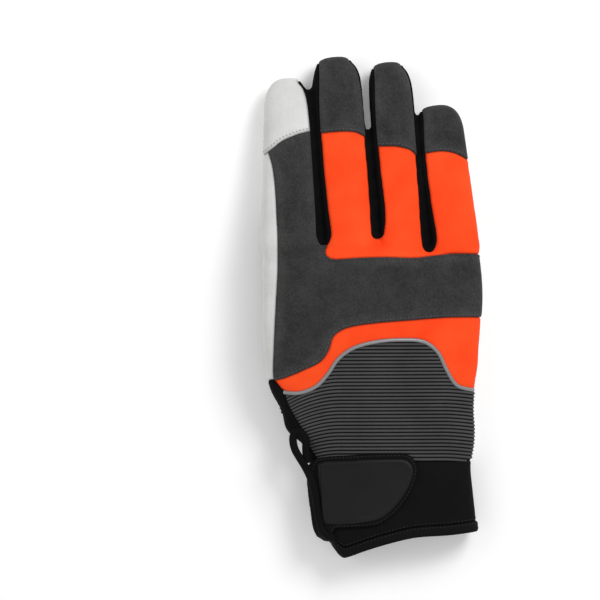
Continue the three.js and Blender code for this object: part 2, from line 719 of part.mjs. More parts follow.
// The loop of binding at the strap's corner, standing beside the wrist
const loopMiddle = onPalm(-0.325, 0.07);
const loopReach = { across: 4.6, along: 7.2 };
const loopHeight = topOf(onPalm(-0.29, 0.11)) + loopThickness / 2 + 2 * seamGap;
const loopTurns = 12;
const loopPlaces = Array.from({ length: loopTurns }, (_, i) => {
  const angle = (2 * Math.PI * i) / loopTurns;
  return new THREE.Vector3(
    loopMiddle.x + loopReach.across * Math.cos(angle),
    loopMiddle.y + loopReach.along * Math.sin(angle),
    loopHeight,
  );
});
const pullLoop = cord(loopPlaces, loopThickness, loopSides, loopSteps, true);

// The hem: a folded binding round the cuff's end
const hemRing = bodyForm(-hemRise, openReach).subtract(bodyForm(neoprene + hemRise, 2 * openReach));
const cuffHem = hemRing.intersect(beyondHem).subtract(beyondCuff);

// Colours, roughness
const finishes = {
  grey: [0x47474a, 0.9],
  orange: [0xff5a2b, 0.85],
  white: [0xd6d5d2, 0.7],
  black: [0x101012, 0.9],
  rib: [0x4c4c50, 0.85],
  piping: [0x8a8a8e, 0.5],
  rubber: [0x1e1e21, 0.45],
};
const glove = new THREE.Group();
function addMesh(name, body, finish) {
  const parts = body.asOriginal().simplify(roundOff).decompose();
  const mesh = parts.sort((a, b) => b.volume() - a.volume())[0].getMesh();
  const geometry = new THREE.BufferGeometry();
  const stride = mesh.numProp;
  const positions = new Float32Array((mesh.vertProperties.length / stride) * 3);
  for (let i = 0; i < positions.length / 3; i++) {
    positions.set(mesh.vertProperties.subarray(i * stride, i * stride + 3), i * 3);
  }
  geometry.setAttribute("position", new THREE.BufferAttribute(positions, 3));
  geometry.setIndex(new THREE.BufferAttribute(mesh.triVerts, 1));
  const [color, roughness] = finishes[finish];
  const material = new THREE.MeshStandardMaterial({ color, roughness, metalness: 0 });
  const made = new THREE.Mesh(geometry, material);
  made.name = name;
  glove.add(made);
}

// Each panel is named by a place where it shows: on top of the glove or under it
const seeds = [
  ["index_tip_cap", onFinger(fingers.index, 0, 0.8), "top", "white"],
  ["middle_tip_cap", onFinger(fingers.middle, 0, 0.8), "top", "grey"],
  ["ring_tip_cap", onFinger(fingers.ring, 0, 0.8), "top", "grey"],
  ["little_tip_cap", onFinger(fingers.little, 0, 0.8), "top", "grey"],
  ["finger_back", onFinger(fingers.ring, 0, 0.2), "top", "orange"],
  ["knuckle_guard", onPalm(0, 0.8), "top", "grey"],
  ["hand_back", onPalm(0.4, 0.5), "top", "orange"],
  ["ribbed_panel", onPalm(0.1, 0.3), "top", "rib"],
  ["index_side_strip", onPalm(-0.475, 0.8), "top", "white"],
  ["thumb_base_knit", onPalm(-0.41, 0.25), "top", "black"],
  ["wrist_cuff", onPalm(0.1, -0.15), "top", "black"],
  ["fourchette_index_middle", pairSeed(pairs[0]), "top", "black"],
  ["fourchette_middle_ring", pairSeed(pairs[1]), "top", "black"],
  ["fourchette_ring_little", pairSeed(pairs[2]), "top", "black"],
  ["palm_radial", onPalm(-0.1, 0.85), "under", "white"],
  ["palm_ulnar", onPalm(0.25, 0.5), "under", "white"],
  ["thumb_base_leather", onPalm(-0.12, 0.4), "under", "white"],
  ["palm_heel", onPalm(-0.12, 0.05), "under", "white"],
  ...Object.keys(fingers).flatMap((name) => [
    [name + "_tip_pad", onFinger(fingers[name], 0, 0.75), "under", "white"],
    [name + "_middle_pad", onFinger(fingers[name], 0, padMiddle(name)), "under", "white"],
  ]),
];

function padMiddle(name) {
  const [far, near] = padSeams[name];
  return (far + near) / 2;
}

// A place on the strip between two fingers, on its wider side
function pairSeed(pair) {
  const edge = panelEdge(pair.right, -1)[1];
  return { x: edge.x - 2, y: edge.y };
}

function heightAt(body, place, side) {
  const mesh = body.getMesh();
  const stride = mesh.numProp;
  const corner = (k) => {
    const at = mesh.triVerts[k] * stride;
    return mesh.vertProperties.subarray(at, at + 3);
  };
  let best = null;
  for (let k = 0; k < mesh.triVerts.length; k += 3) {
    const [a, b, c] = [corner(k), corner(k + 1), corner(k + 2)];
    const area = (b[0] - a[0]) * (c[1] - a[1]) - (c[0] - a[0]) * (b[1] - a[1]);
    if (Math.abs(area) < 1e-9) continue;
    const s = ((place.x - a[0]) * (c[1] - a[1]) - (c[0] - a[0]) * (place.y - a[1])) / area;
    const t = ((b[0] - a[0]) * (place.y - a[1]) - (place.x - a[0]) * (b[1] - a[1])) / area;
    if (s < 0 || t < 0 || s + t > 1) continue;
    const z = a[2] + s * (b[2] - a[2]) + t * (c[2] - a[2]);
    if (best === null || (side === "top" ? z > best : z < best)) best = z;
  }
  return best;
}

function pieceAt(place, side) {
  const sign = side === "top" ? 1 : -1;
  const found = pieces
    .map((body) => ({ body, z: heightAt(body, place, side) }))
    .filter((item) => item.z !== null)
    .sort((a, b) => sign * (b.z - a.z));
  return found[0].body;
}

for (const [name, place, side, finish] of seeds) {
  const body = pieceAt(place, side);
  addMesh(name, name === "wrist_cuff" ? body.subtract(beyondHemGap) : body, finish);
}
addMesh("cuff_hem", cuffHem, "black");
addMesh("strap_tab", strapTab, "rubber");
addMesh("strap_panel", strapPanel, "rubber");
addMesh("pull_loop", pullLoop, "black");
addMesh("reflective_piping", piping, "piping");
addMesh("thumb_front", thumbParts[0], "white");
addMesh("thumb_back", thumbParts[1], "black");

// The origin is under the middle of the whole glove, on the surface it lies on
const extent = new THREE.Box3().setFromObject(glove);
const middle = extent.getCenter(new THREE.Vector3());
glove.position.set(-middle.x, -middle.y, -extent.min.z);

export default glove;
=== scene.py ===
import math

import bpy
import numpy as np
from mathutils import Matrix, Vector, noise
from mathutils.bvhtree import BVHTree
from mathutils.kdtree import KDTree


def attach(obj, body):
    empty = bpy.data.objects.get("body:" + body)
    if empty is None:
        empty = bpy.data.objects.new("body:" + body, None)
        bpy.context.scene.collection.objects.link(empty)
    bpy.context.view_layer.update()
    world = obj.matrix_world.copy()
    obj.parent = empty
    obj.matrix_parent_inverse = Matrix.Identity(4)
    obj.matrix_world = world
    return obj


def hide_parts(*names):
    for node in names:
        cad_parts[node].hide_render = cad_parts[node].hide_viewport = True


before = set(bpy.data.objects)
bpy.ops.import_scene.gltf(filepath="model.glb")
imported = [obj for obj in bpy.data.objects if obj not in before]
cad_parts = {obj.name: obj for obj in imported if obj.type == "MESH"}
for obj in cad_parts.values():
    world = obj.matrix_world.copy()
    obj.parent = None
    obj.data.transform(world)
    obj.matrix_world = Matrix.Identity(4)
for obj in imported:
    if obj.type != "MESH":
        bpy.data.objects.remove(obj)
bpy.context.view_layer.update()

# The studio. The glove lies on a pale floor, seen from straight above through a long lens, with
# soft light from the upper right, so that its shadow falls to the lower left.
look_at = (-0.0370, 0.0029)
camera_height = 1.8
frame_width = 0.309
frame_level = 0.02
sensor = 36.0

light_target = (0, 0, 0.02)
floor_reach = 3.0


def put(name, data):
    """A new object in the scene."""
    made = bpy.data.objects.new(name, data)
    bpy.context.scene.collection.objects.link(made)
    return made


lens = bpy.data.cameras.new("camera")
lens.sensor_width = sensor
lens.lens = sensor * (camera_height - frame_level) / frame_width
lens.clip_end = 10
camera = put("camera", lens)
camera.location = (*look_at, camera_height)
bpy.context.scene.camera = camera

for name, place, size, power in (("key", (0.55, 0.6, 0.95), 0.5, 8), ("fill", (-0.9, 0.2, 0.9), 1.0, 2.5),
                                 ("front", (0.1, -1.1, 0.8), 1.0, 2)):
    light = bpy.data.lights.new(name, "AREA")
    light.size = size
    light.energy = power
    lamp = put(name, light)
    lamp.location = place
    lamp.rotation_euler = (Vector(light_target) - lamp.location).to_track_quat("-Z", "Y").to_euler()
world = bpy.data.worlds.new("studio")
world.use_nodes = True
world.node_tree.nodes["Background"].inputs["Color"].default_value = (1, 1, 1, 1)
world.node_tree.nodes["Background"].inputs["Strength"].default_value = 0.5
bpy.context.scene.world = world
bpy.context.scene.view_settings.view_transform = "Standard"

corners = [(x * floor_reach, y * floor_reach, 0) for x, y in ((-1, -1), (1, -1), (1, 1), (-1, 1))]
floor_mesh = bpy.data.meshes.new("floor")
floor_mesh.from_pydata(corners, [], [(0, 1, 2, 3)])
floor = put("floor", floor_mesh)
paper = bpy.data.materials.new("paper")
paper.use_nodes = True
for key, value in (("Base Color", (0.93, 0.93, 0.93, 1)), ("Roughness", 0.9),
                   ("Emission Color", (1, 1, 1, 1)), ("Emission Strength", 0.14)):
    paper.node_tree.nodes["Principled BSDF"].inputs[key].default_value = value
floor_mesh.materials.append(paper)

# The shape of the hand that every panel is cut from. The real glove is sewn from flat panels over
# a hand's form: an oval palm and cuff, and four fingers that sink to the surface at their tips.
palm_length, palm_width, palm_depth, palm_roll = 110.2, 114.0, 25.0, 10.5
cuff_length, cuff_width, cuff_depth, cuff_slant = 50.2, 83.0, 26.0, 11.4
settle = 1.0
hem_height = 5.2
shift = np.array([0.428, -79.54, 0.0])
voxel = 0.9
slit, slit_overlap = 2.7, 1.2

# along, middle, width, depth, roll: shares of the cuff's and of the palm's sizes
cuff_rows = [
    (-1.3, 0.235, 0.86, 1.0, 0.1), (-1, 0.217, 0.89, 1.02, 0.1), (-0.87, 0.208, 0.9, 1.02, 0.12),
    (-0.8, 0.184, 0.938, 1.01, 0.13), (-0.72, 0.148, 1.003, 1.0, 0.14), (-0.4, 0.124, 1.006, 0.97, 0.18),
    (-0.04, 0.112, 0.998, 0.95, 0.24),
]
palm_rows = [
    (0.07, 0.076, 0.763, 0.98, 0.32), (0.14, 0.04, 0.841, 0.98, 0.4), (0.234, 0.025, 0.863, 0.99, 0.5),
    (0.342, 0, 0.926, 1, 0.64), (0.468, -0.004, 0.968, 1, 0.8), (0.6, -0.006, 0.99, 1, 0.93),
    (0.773, 0, 1, 0.98, 1), (0.95, -0.006, 0.985, 0.93, 1), (1.08, -0.006, 0.92, 0.8, 1),
]
body_rows = np.vstack([np.array(cuff_rows) * (cuff_length, cuff_width, cuff_width, cuff_depth, palm_roll),
                       np.array(palm_rows) * (palm_length, palm_width, palm_width, palm_depth, palm_roll)])

# length, width, taper, root, lean, crotch towards the thumb
fingers = {
    "index": (86.6, 30.2, 0.22, -0.368, -0.9, 0),
    "middle": (97.9, 29.6, 0.06, -0.109, -4.2, 0),
    "ring": (95.2, 25.4, 0, 0.131, -4.2, 0.034),
    "little": (72.8, 28, 0.13, 0.362, -6.6, -0.025),
}
finger_depth, tip_rest, tip_roll = 20.0, 7.6, 5.0
round_start, tip_squareness, depth_squareness = 0.79, 2.7, 2.1
root_depth, root_taper, depth_taper, root_draw = 1.1, 0.9, 0.25, 0.5
sink_curve, turn_share = 0.9, 0.2


def smooth_read(rows, places):
    """The other columns of a table at places along its first column, on a smooth curve."""
    x, y = rows[:, 0], rows[:, 1:]
    slope = np.empty_like(y)
    slope[1:-1] = (y[2:] - y[:-2]) / (x[2:] - x[:-2])[:, None]
    slope[0] = (y[1] - y[0]) / (x[1] - x[0])
    slope[-1] = (y[-1] - y[-2]) / (x[-1] - x[-2])
    p = np.clip(np.atleast_1d(np.asarray(places, float)), x[0], x[-1])
    i = np.clip(np.searchsorted(x, p, side="right") - 1, 0, len(x) - 2)
    gap = (x[i + 1] - x[i])[:, None]
    t = (p - x[i])[:, None] / gap
    return ((2 * t ** 3 - 3 * t ** 2 + 1) * y[i] + (t ** 3 - 2 * t ** 2 + t) * gap * slope[i]
            + (3 * t ** 2 - 2 * t ** 3) * y[i + 1] + (t ** 3 - t ** 2) * gap * slope[i + 1])


def body_frame(y):
    middle, width, depth, roll = smooth_read(body_rows, y).T
    roll = np.radians(roll)
    height = depth / 2 + np.sin(roll) * width / 2 - settle
    return middle, height, roll, width / 2, depth / 2


def hand_middle(x, y):
    """Height of the seam between back and palm of the hand."""
    middle, height, roll, _, _ = body_frame(np.minimum(y, palm_length))
    return height - (x - middle) * np.tan(roll)


def tip_round(place, squareness):
    return (1 - np.clip(place, 0, 1) ** squareness) ** (1 / squareness)


def finger_frame(name, along):
    length, width, taper, root, lean, _ = fingers[name]
    along = np.atleast_1d(np.asarray(along, float))
    out = np.maximum(along, 0)
    x = root * palm_width + math.tan(math.radians(lean)) * out * length
    share = np.clip(along, 0, 1)
    start = hand_middle(x, np.full_like(x, palm_length))
    z = start + (tip_rest - start) * share ** sink_curve
    roll = np.radians(palm_roll + (tip_roll - palm_roll) * share)
    turn = math.radians(-lean) * np.minimum(out / turn_share, 1)
    end = (along - round_start) / (1 - round_start)
    depth = np.where(along < 0, root_depth + root_taper * along, root_depth - depth_taper * out)
    half_width = width / 2 * (1 + root_draw * np.minimum(along, 0)) * (1 - taper * out)
    half_width *= tip_round(end, tip_squareness)
    half_depth = finger_depth / 2 * depth * tip_round(end, depth_squareness)
    return x, palm_length + along * length, z, turn, roll, half_width, half_depth


def section(x, y, z, turn, roll, half_width, half_depth, squareness, count):
    """One ring of points round a form, flat where it meets the surface."""
    angle = 2 * np.pi * (np.arange(count) + 0.5) / count
    c, s = np.cos(angle), np.sin(angle)
    u = half_width * np.sign(c) * np.abs(c) ** (2 / squareness)
    w = half_depth * np.sign(s) * np.abs(s) ** (2 / squareness)
    across = u * math.cos(roll) + w * math.sin(roll)
    up = -u * math.sin(roll) + w * math.cos(roll)
    return np.stack([x + across * math.cos(turn), y + across * math.sin(turn), np.maximum(z + up, 0)], 1)


def skinned(rings):
    """Faces over a row of rings, closed at both ends."""
    count = len(rings[0])
    last = (len(rings) - 1) * count
    points = np.vstack(rings + [rings[0].mean(0)[None], rings[-1].mean(0)[None]])
    faces = []
    for a in range(last):
        b = a - a % count + (a + 1) % count
        faces.append((a, a + count, b + count, b))
    for i in range(count):
        j = (i + 1) % count
        faces.append((last + count, i, j))
        faces.append((last + count + 1, last + j, last + i))
    return points, faces


def touch(left, right, y):
    """Where two neighbouring fingers touch at y, and whether both of them reach that far."""
    along_a, along_b = ((y - palm_length) / fingers[name][0] for name in (left, right))
    a, b = finger_frame(left, along_a), finger_frame(right, along_b)
    return (a[0] + a[5] + b[0] - b[5]) / 2, (along_a < 1) & (along_b < 1)


pairs = [("index", "middle"), ("middle", "ring"), ("ring", "little")]
# Where two fingers come apart, as a share of the palm's length
apart_at = {"middle": 2, "ring": 1.56, "little": 2}


def crotch_at(right):
    return palm_length * (1 + fingers[right][5])


def mesh_object(name, points, faces=(), edges=()):
    mesh = bpy.data.meshes.new(name)
    mesh.from_pydata((np.asarray(points) * 0.001).tolist(), edges, [list(map(int, f)) for f in faces])
    mesh.update()
    return put(name, mesh)


form_start, form_step = -64, 2.0
finger_start, finger_step, tip_steps, tip_end = -0.22, 0.02, 16, 0.998
palm_sides, finger_sides = 120, 72
palm_squareness, finger_squareness = 3, 2.7
# How far from its end the palm starts to round, and how far its sides draw in there
palm_round, palm_draw = 7, 6


def stations(start, step, bend, count):
    """Places along a finger, closer together where its tip is round."""
    ease = np.sin(np.linspace(0, np.pi / 2, count))
    return np.concatenate([np.arange(start, bend, step), bend + (1 - bend) * ease * tip_end])


def hand_forms():
    """The palm with its cuff and each finger, as closed forms that run into each other."""
    round_from = palm_length - palm_round
    ends = np.array([0, 0.35, 0.62, 0.82, 0.93, 0.98])
    rings = []
    for y in np.concatenate([np.arange(form_start, round_from, form_step), round_from + palm_round * ends]):
        middle, height, roll, half_width, half_depth = (float(v[0]) for v in body_frame(y))
        close = float(tip_round(max(y - palm_length + palm_round, 0) / palm_round, 2))
        rings.append(section(middle, y, height, 0, roll, half_width - palm_draw * (1 - close),
                             half_depth * (0.3 + 0.7 * close), palm_squareness, palm_sides))
    forms = [skinned(rings)]
    for name in fingers:
        rings = []
        places = stations(finger_start, finger_step, round_start, tip_steps)
        for x, y, z, turn, roll, half_width, half_depth in zip(*finger_frame(name, places)):
            ring = section(x, y, z, turn, roll, half_width, half_depth, finger_squareness, finger_sides)
            for left, right in pairs:
                if name not in (left, right):
                    continue
                side = 1 if name == left else -1
                line, near = touch(left, right, ring[:, 1])
                gap = np.where(ring[:, 1] > apart_at[right] * palm_length, slit, -slit_overlap)
                limit = line - side * gap / 2
                past = near & (ring[:, 1] > crotch_at(right)) & ((ring[:, 0] - limit) * side > 0)
                ring[past, 0] = limit[past]
            rings.append(ring)
        forms.append(skinned(rings))
    return forms


def joined(forms):
    points, faces, start = [], [], 0
    for p, f in forms:
        points.append(p)
        faces += [tuple(i + start for i in face) for face in f]
        start += len(p)
    return np.vstack(points), faces


def applied(made):
    """The mesh of an object with its modifiers applied."""
    view = bpy.context.evaluated_depsgraph_get()
    return bpy.data.meshes.new_from_object(made.evaluated_get(view))


def remeshed(name, forms, size, rounds):
    """One skin round several closed forms, as points in mm and triangles."""
    made = mesh_object(name, *joined(forms))
    grid = made.modifiers.new("grid", "REMESH")
    grid.mode = "VOXEL"
    grid.voxel_size = size * 0.001
    relax = made.modifiers.new("relax", "SMOOTH")
    relax.factor = 0.5
    relax.iterations = rounds
    mesh = applied(made)
    bpy.data.objects.remove(made)
    mesh.calc_loop_triangles()
    points = np.empty(len(mesh.vertices) * 3)
    mesh.vertices.foreach_get("co", points)
    faces = np.empty(len(mesh.loop_triangles) * 3, int)
    mesh.loop_triangles.foreach_get("vertices", faces)
    return points.reshape(-1, 3) * 1000, faces.reshape(-1, 3)


def with_normals(points, faces):
    """Points with their normals beside them, as six columns."""
    a, b, c = (points[faces[:, i]] for i in range(3))
    flat = np.cross(b - a, c - a)
    normals = np.zeros_like(points)
    for i in range(3):
        np.add.at(normals, faces[:, i], flat)
    normals /= np.maximum(np.linalg.norm(normals, axis=1), 1e-12)[:, None]
    return np.hstack([points, normals])


hand, hand_faces = remeshed("hand", hand_forms(), voxel, 6)
hand = with_normals(hand, hand_faces)


def distance_in(*parts):
    """A field over the plan: distance in mm to an outline made of some lines, above 0 inside it."""
    line = np.vstack(parts).astype(float)

    def field(p):
        a, b = line, np.roll(line, -1, 0)
        best = np.full(len(p), 1e9)
        inside = np.zeros(len(p), bool)
        for (ax, ay), (bx, by) in zip(a, b):
            dx, dy = bx - ax, by - ay
            size = dx * dx + dy * dy
            if size < 1e-12:
                continue
            t = np.clip(((p[:, 0] - ax) * dx + (p[:, 1] - ay) * dy) / size, 0, 1)
            best = np.minimum(best, np.hypot(p[:, 0] - ax - t * dx, p[:, 1] - ay - t * dy))
            if ay != by:
                crosses = (ay > p[:, 1]) != (by > p[:, 1])
                inside ^= crosses & (p[:, 0] < (p[:, 1] - ay) / (by - ay) * dx + ax)
        return np.where(inside, best, -best)

    return field


def score(points, faces, field):
    """Cuts the triangles along the line where the field is 0."""
    value = field(points)
    value[np.abs(value) < 0.05] = 0
    sign = np.sign(value)
    corner = sign[faces]
    cut = (corner.max(1) > 0) & (corner.min(1) < 0)
    if not cut.any():
        return points, faces
    kept, split = faces[~cut], faces[cut]
    corner = corner[cut]
    zero = (corner == 0).any(1)
    odd = np.where(corner.sum(1) > 0, -1, 1)
    first = np.where(zero, np.argmax(corner == 0, 1), np.argmax(corner == odd[:, None], 1))
    turned = np.stack([split[np.arange(len(split)), (first + k) % 3] for k in range(3)], 1)
    one, two = turned[zero], turned[~zero]
    ends = np.vstack([one[:, [1, 2]], two[:, [0, 1]], two[:, [0, 2]]])
    ends.sort(axis=1)
    unique, back = np.unique(ends, axis=0, return_inverse=True)
    back = back.ravel()
    a, b = unique.T
    share = (value[a] / (value[a] - value[b]))[:, None]
    fresh = points[a] + (points[b] - points[a]) * share
    index = len(points) + back
    m = index[:len(one)]
    m1, m2 = index[len(one):len(one) + len(two)], index[len(one) + len(two):]
    parts = [kept,
             np.stack([one[:, 0], one[:, 1], m], 1), np.stack([one[:, 0], m, one[:, 2]], 1),
             np.stack([two[:, 0], m1, m2], 1), np.stack([m1, two[:, 1], two[:, 2]], 1),
             np.stack([m1, two[:, 2], m2], 1)]
    return np.vstack([points, fresh]), np.vstack(parts)


def smooth_line(rows, step=1.2):
    """A smooth line through a few points of the plan, with points a step apart."""
    rows = np.asarray(rows, float)
    run = np.concatenate([[0], np.cumsum(np.linalg.norm(np.diff(rows, axis=0), axis=1))])
    fine = np.linspace(0, run[-1], max(int(run[-1] / step), 2) + 1)
    return smooth_read(np.column_stack([run, rows]), fine)


def on_palm(rows):
    return np.asarray(rows, float) * (palm_width, palm_length)


def palm_line(rows):
    return smooth_line(on_palm(rows))


def across_finger(name, along, reach):
    """The place that is so many mm from a finger's middle line, towards the little finger."""
    x, y, _, turn = (float(v[0]) for v in finger_frame(name, along)[:4])
    return x + reach * math.cos(turn), y + reach * math.sin(turn)


def on_finger(name, rows):
    _, width, taper = fingers[name][:3]
    return np.array([across_finger(name, along, across * width * (1 - taper * max(along, 0)))
                     for across, along in rows])


# Seams, as shares across and along the palm
knuckle_seam = palm_line([
    (-0.225, 1.06), (-0.2105, 1.0), (-0.217, 0.975), (-0.208, 0.95), (-0.179, 0.936), (-0.0795, 0.942),
    (0.056, 0.946), (0.1915, 0.943), (0.268, 0.953), (0.372, 0.9635), (0.56, 0.958)])
guard_seam = palm_line([
    (0.56, 0.668), (0.3495, 0.668), (0.169, 0.655), (-0.012, 0.639), (-0.1247, 0.617), (-0.179, 0.579),
    (-0.2015, 0.514), (-0.2375, 0.4626), (-0.319, 0.4206), (-0.3957, 0.3879), (-0.455, 0.372)])
piping_seam = palm_line([
    (-0.41, 0.327), (-0.3957, 0.32), (-0.328, 0.318), (-0.2556, 0.348), (-0.206, 0.402), (-0.156, 0.4766),
    (-0.0885, 0.5257), (0.0108, 0.5537), (0.1238, 0.563), (0.2276, 0.5537), (0.2909, 0.5047),
    (0.327, 0.43), (0.3677, 0.36), (0.3993, 0.3388), (0.48, 0.3248), (0.6, 0.32)])
strip_seam = smooth_line(np.vstack([
    on_finger("index", [(-0.62, 0.62), (-0.45, 0.575), (-0.37, 0.521), (-0.315, 0.45), (-0.27, 0.331),
                        (-0.244, 0.184), (-0.224, 0.036)]),
    on_palm([(-0.4273, 0.888), (-0.434, 0.7477), (-0.4408, 0.6075), (-0.4476, 0.4206), (-0.445, 0.378)])]))
strip_end = on_palm([(-0.445, 0.38), (-0.5176, 0.36), (-0.56, 0.345)])
knit_top = palm_line([(-0.4453, 0.379), (-0.4137, 0.338), (-0.391, 0.32)])
rib_side = palm_line([
    (-0.3957, 0.322), (-0.382, 0.271), (-0.3595, 0.224), (-0.3324, 0.1776), (-0.31, 0.131),
    (-0.278, 0.056), (-0.2376, -0.01)])
thumb_seam = palm_line([
    (-0.62, 0.617), (-0.345, 0.62), (-0.235, 0.6), (-0.138, 0.561), (-0.0885, 0.49), (-0.057, 0.388),
    (-0.0614, 0.285), (-0.108, 0.196)])
heel_side = palm_line([(-0.108, 0.196), (-0.075, 0.0654), (-0.048, -0.07)])
heel_top = palm_line([(-0.6, -0.02), (-0.36, -0.02), (-0.28, 0.02), (-0.215, 0.117), (-0.108, 0.196)])
heel_end = on_palm([
    (-0.6, -0.003), (-0.25, -0.003), (-0.225, -0.03), (-0.21, -0.1355), (-0.048, -0.07), (-0.003, -0.003),
    (0.6, -0.003)])
knit_under = palm_line([(-0.345, 0.626), (-0.345, 0.5), (-0.25, 0.33), (-0.16, 0.24), (-0.108, 0.196)])
palm_seam = palm_line([(0.0244, 1.06), (0.038, 0.869), (0.0334, 0.673), (-0.0072, 0.4766), (-0.0614, 0.285)])
# Cap seams, as shares across and along each finger, and pad seams as shares along it
cap_rows = {
    "index": [(-0.8, 0.5), (-0.5, 0.545), (-0.33, 0.58), (-0.16, 0.621), (0.035, 0.648),
              (0.235, 0.669), (0.55, 0.69)],
    "middle": [(-0.55, 0.6), (-0.1, 0.603), (0.165, 0.6), (0.31, 0.59), (0.55, 0.55)],
    "ring": [(-0.55, 0.55), (0.016, 0.54), (0.22, 0.527), (0.346, 0.51), (0.55, 0.45)],
    "little": [(-0.55, 0.67), (-0.04, 0.675), (0.17, 0.662), (0.33, 0.638), (0.8, 0.52)],
}
pad_bow, pad_reach = 0.02, 0.8
pad_rows = {"index": (0.38, 0.13), "middle": (0.47, 0.24), "ring": (0.446, 0.21), "little": (0.42, 0.18)}
cap_seams = {name: smooth_line(on_finger(name, rows)) for name, rows in cap_rows.items()}

# How far in the back of each finger is sewn, in mm from its outline: along, left, right
edge_rows = np.array([(0.06, 6.2, 1.9), (0.2, 5.5, 1.6), (0.4, 4.7, 1.5), (0.6, 4.4, 1.4), (0.76, 4.6, 1.5),
                      (0.88, 4.8, 1.7), (0.94, 3.4, 1.5), (0.98, 0.6, 0.6)])
index_inset, narrowest = 1.2, 1.5
crotch_round, crotch_share = 4.4, 0.42


def panel_edge(name, side):
    made = []
    for along, left, right in edge_rows:
        half_width = float(finger_frame(name, along)[5][0])
        inset = (right + index_inset * along * (name == "index")) if side > 0 else left
        made.append(across_finger(name, along, side * max(half_width - inset, narrowest)))
    return np.array(made)


def strip_outline(left, right):
    """Round the strip between two fingers: up one finger's edge, round the crotch, up the other's."""
    edges = panel_edge(left, 1), panel_edge(right, -1)
    a, b = (edge[edge[:, 1] > crotch_at(right) + crotch_round] for edge in edges)
    end = np.array([(a[0, 0] + b[0, 0]) / 2, crotch_at(right)])
    reach = (b[0, 0] - a[0, 0]) * crotch_share
    turn = [end + (side * reach, up) for side, up in ((-1, 3.2), (-0.62, 0.7), (0, 0), (0.62, 0.7), (1, 3.2))]
    far = (a[-1] + (5, 30), b[-1] + (-5, 30))
    return smooth_line(np.vstack([[far[0]], a[::-1], turn, b, [far[1]]]), 1.0)


strip_outlines = [strip_outline(*pair) for pair in pairs]
strip_lean = 0.33 * math.tan(math.radians(palm_roll))


def leaned(field, left):
    def moved(p):
        along = np.clip((p[:, 1] - palm_length) / fingers[left][0], 0, 1)
        level = finger_frame(left, along)[2] + finger_depth / 2
        q = p.copy()
        q[:, 0] -= (p[:, 2] - level) * strip_lean
        return field(q)
    return moved


def back_of_hand(p):
    """Height over the seam between back and palm of the glove."""
    level = hand_middle(p[:, 0], p[:, 1])
    best = np.full(len(p), 1e9)
    for name in fingers:
        along = (p[:, 1] - palm_length) / fingers[name][0]
        x, _, z, _, roll, _, _ = finger_frame(name, along)
        away = np.abs(p[:, 0] - x)
        near = (p[:, 1] > palm_length) & (away < best)
        level = np.where(near, z - (p[:, 0] - x) * np.tan(roll), level)
        best = np.where(near, away, best)
    return p[:, 2] - level


# The cuff's open end, as shares across and along the cuff
hem_rows = np.array([(-0.5, -0.76), (-0.28, -0.84), (-0.24, -0.893), (-0.221, -0.944), (-0.196, -0.985),
                     (-0.1775, -1.0), (-0.14, -0.984), (-0.078, -0.944), (-0.0157, -0.908), (0.108, -0.847),
                     (0.263, -0.79), (0.48, -0.765), (0.61, -0.743), (0.8, -0.70)])
hem_rows *= (cuff_width, cuff_length)


def hem_line(x, offset):
    return smooth_read(hem_rows, x)[:, 0] + offset / math.cos(math.radians(cuff_slant))


def hem_field(offset):
    return lambda p: (p[:, 1] - hem_line(p[:, 0], offset)) * math.cos(math.radians(cuff_slant))


# A place far off the glove, and how far the lines over the fingers drift towards the thumb there
far, far_drift = 300.0, 6
strip_reach = 4.5
wrist_seam, finger_share = -0.003, 0.93
# Where the lines between the fingers start over the crotch, the share of the finger that they run
# along, and their step
line_start, line_share, line_step = 6, 0.9, 4
touch_lines = []
for left, right in pairs:
    line_end = palm_length + line_share * min(fingers[left][0], fingers[right][0])
    y = np.arange(crotch_at(right) + line_start, line_end, line_step)
    x = touch(left, right, y)[0]
    touch_lines.append(np.vstack([np.column_stack([x, y]), [(x[-1] - far_drift, far)]]))


def beyond(seam):
    """The side of a seam across a finger that is towards the tip."""
    return distance_in(seam, [(seam[-1, 0] - far_drift, far), (seam[0, 0] - far_drift, far)])


def pad_seam(name, along):
    low = along - pad_bow
    return smooth_line(on_finger(name, [(-pad_reach, low), (0, along), (pad_reach, low)]))


fields = {
    "back": back_of_hand,
    "cuff_end": hem_field(0),
    "past_hem": hem_field(hem_height),
    "strip_edge": lambda p: back_of_hand(p) + strip_reach,
    "above_cuff": lambda p: p[:, 1] - wrist_seam * palm_length,
    "above_knuckle": distance_in(touch_lines[0][::-1], knuckle_seam, [(far, 90), (far, far)]),
    "above_guard": distance_in(guard_seam, [(-far, 40), (-far, far), (far, far), (far, 70)]),
    "above_piping": distance_in(piping_seam, [(far, 35), (far, far), (-far, far), (-far, 36)]),
    "side_strip": distance_in(strip_seam, strip_end, [(-far, 38), (-far, 170)]),
    "knit_back": distance_in(strip_end[::-1], knit_top, rib_side, [(-27, -8), (-far, -8), (-far, 38)]),
    "thumb_side": distance_in(thumb_seam, heel_side, [(-5.5, -60), (-far, -60), (-far, 68)]),
    "under_heel": distance_in(heel_top, [(far, 21), (far, -far), (-far, -far), (-far, 3.3)]),
    "above_heel_end": distance_in(heel_end, [(far, 0), (far, far), (-far, far), (-far, 0)]),
    "knit_palm": distance_in(knit_under, [(-12, 21), (-12, -60), (-far, -60), (-far, 69)]),
    "radial": distance_in(touch_lines[1][::-1], palm_seam, [(-far, 31), (-far, far)]),
}
for k, (left, right) in enumerate(pairs):
    fields["strip%d" % k] = leaned(distance_in(strip_outlines[k]), left)
for name in fingers:
    fields["cap_" + name] = beyond(cap_seams[name])
    fields["tip_" + name], fields["pad_" + name] = (beyond(pad_seam(name, along)) for along in pad_rows[name])
for field in fields.values():
    hand, hand_faces = score(hand, hand_faces, field)

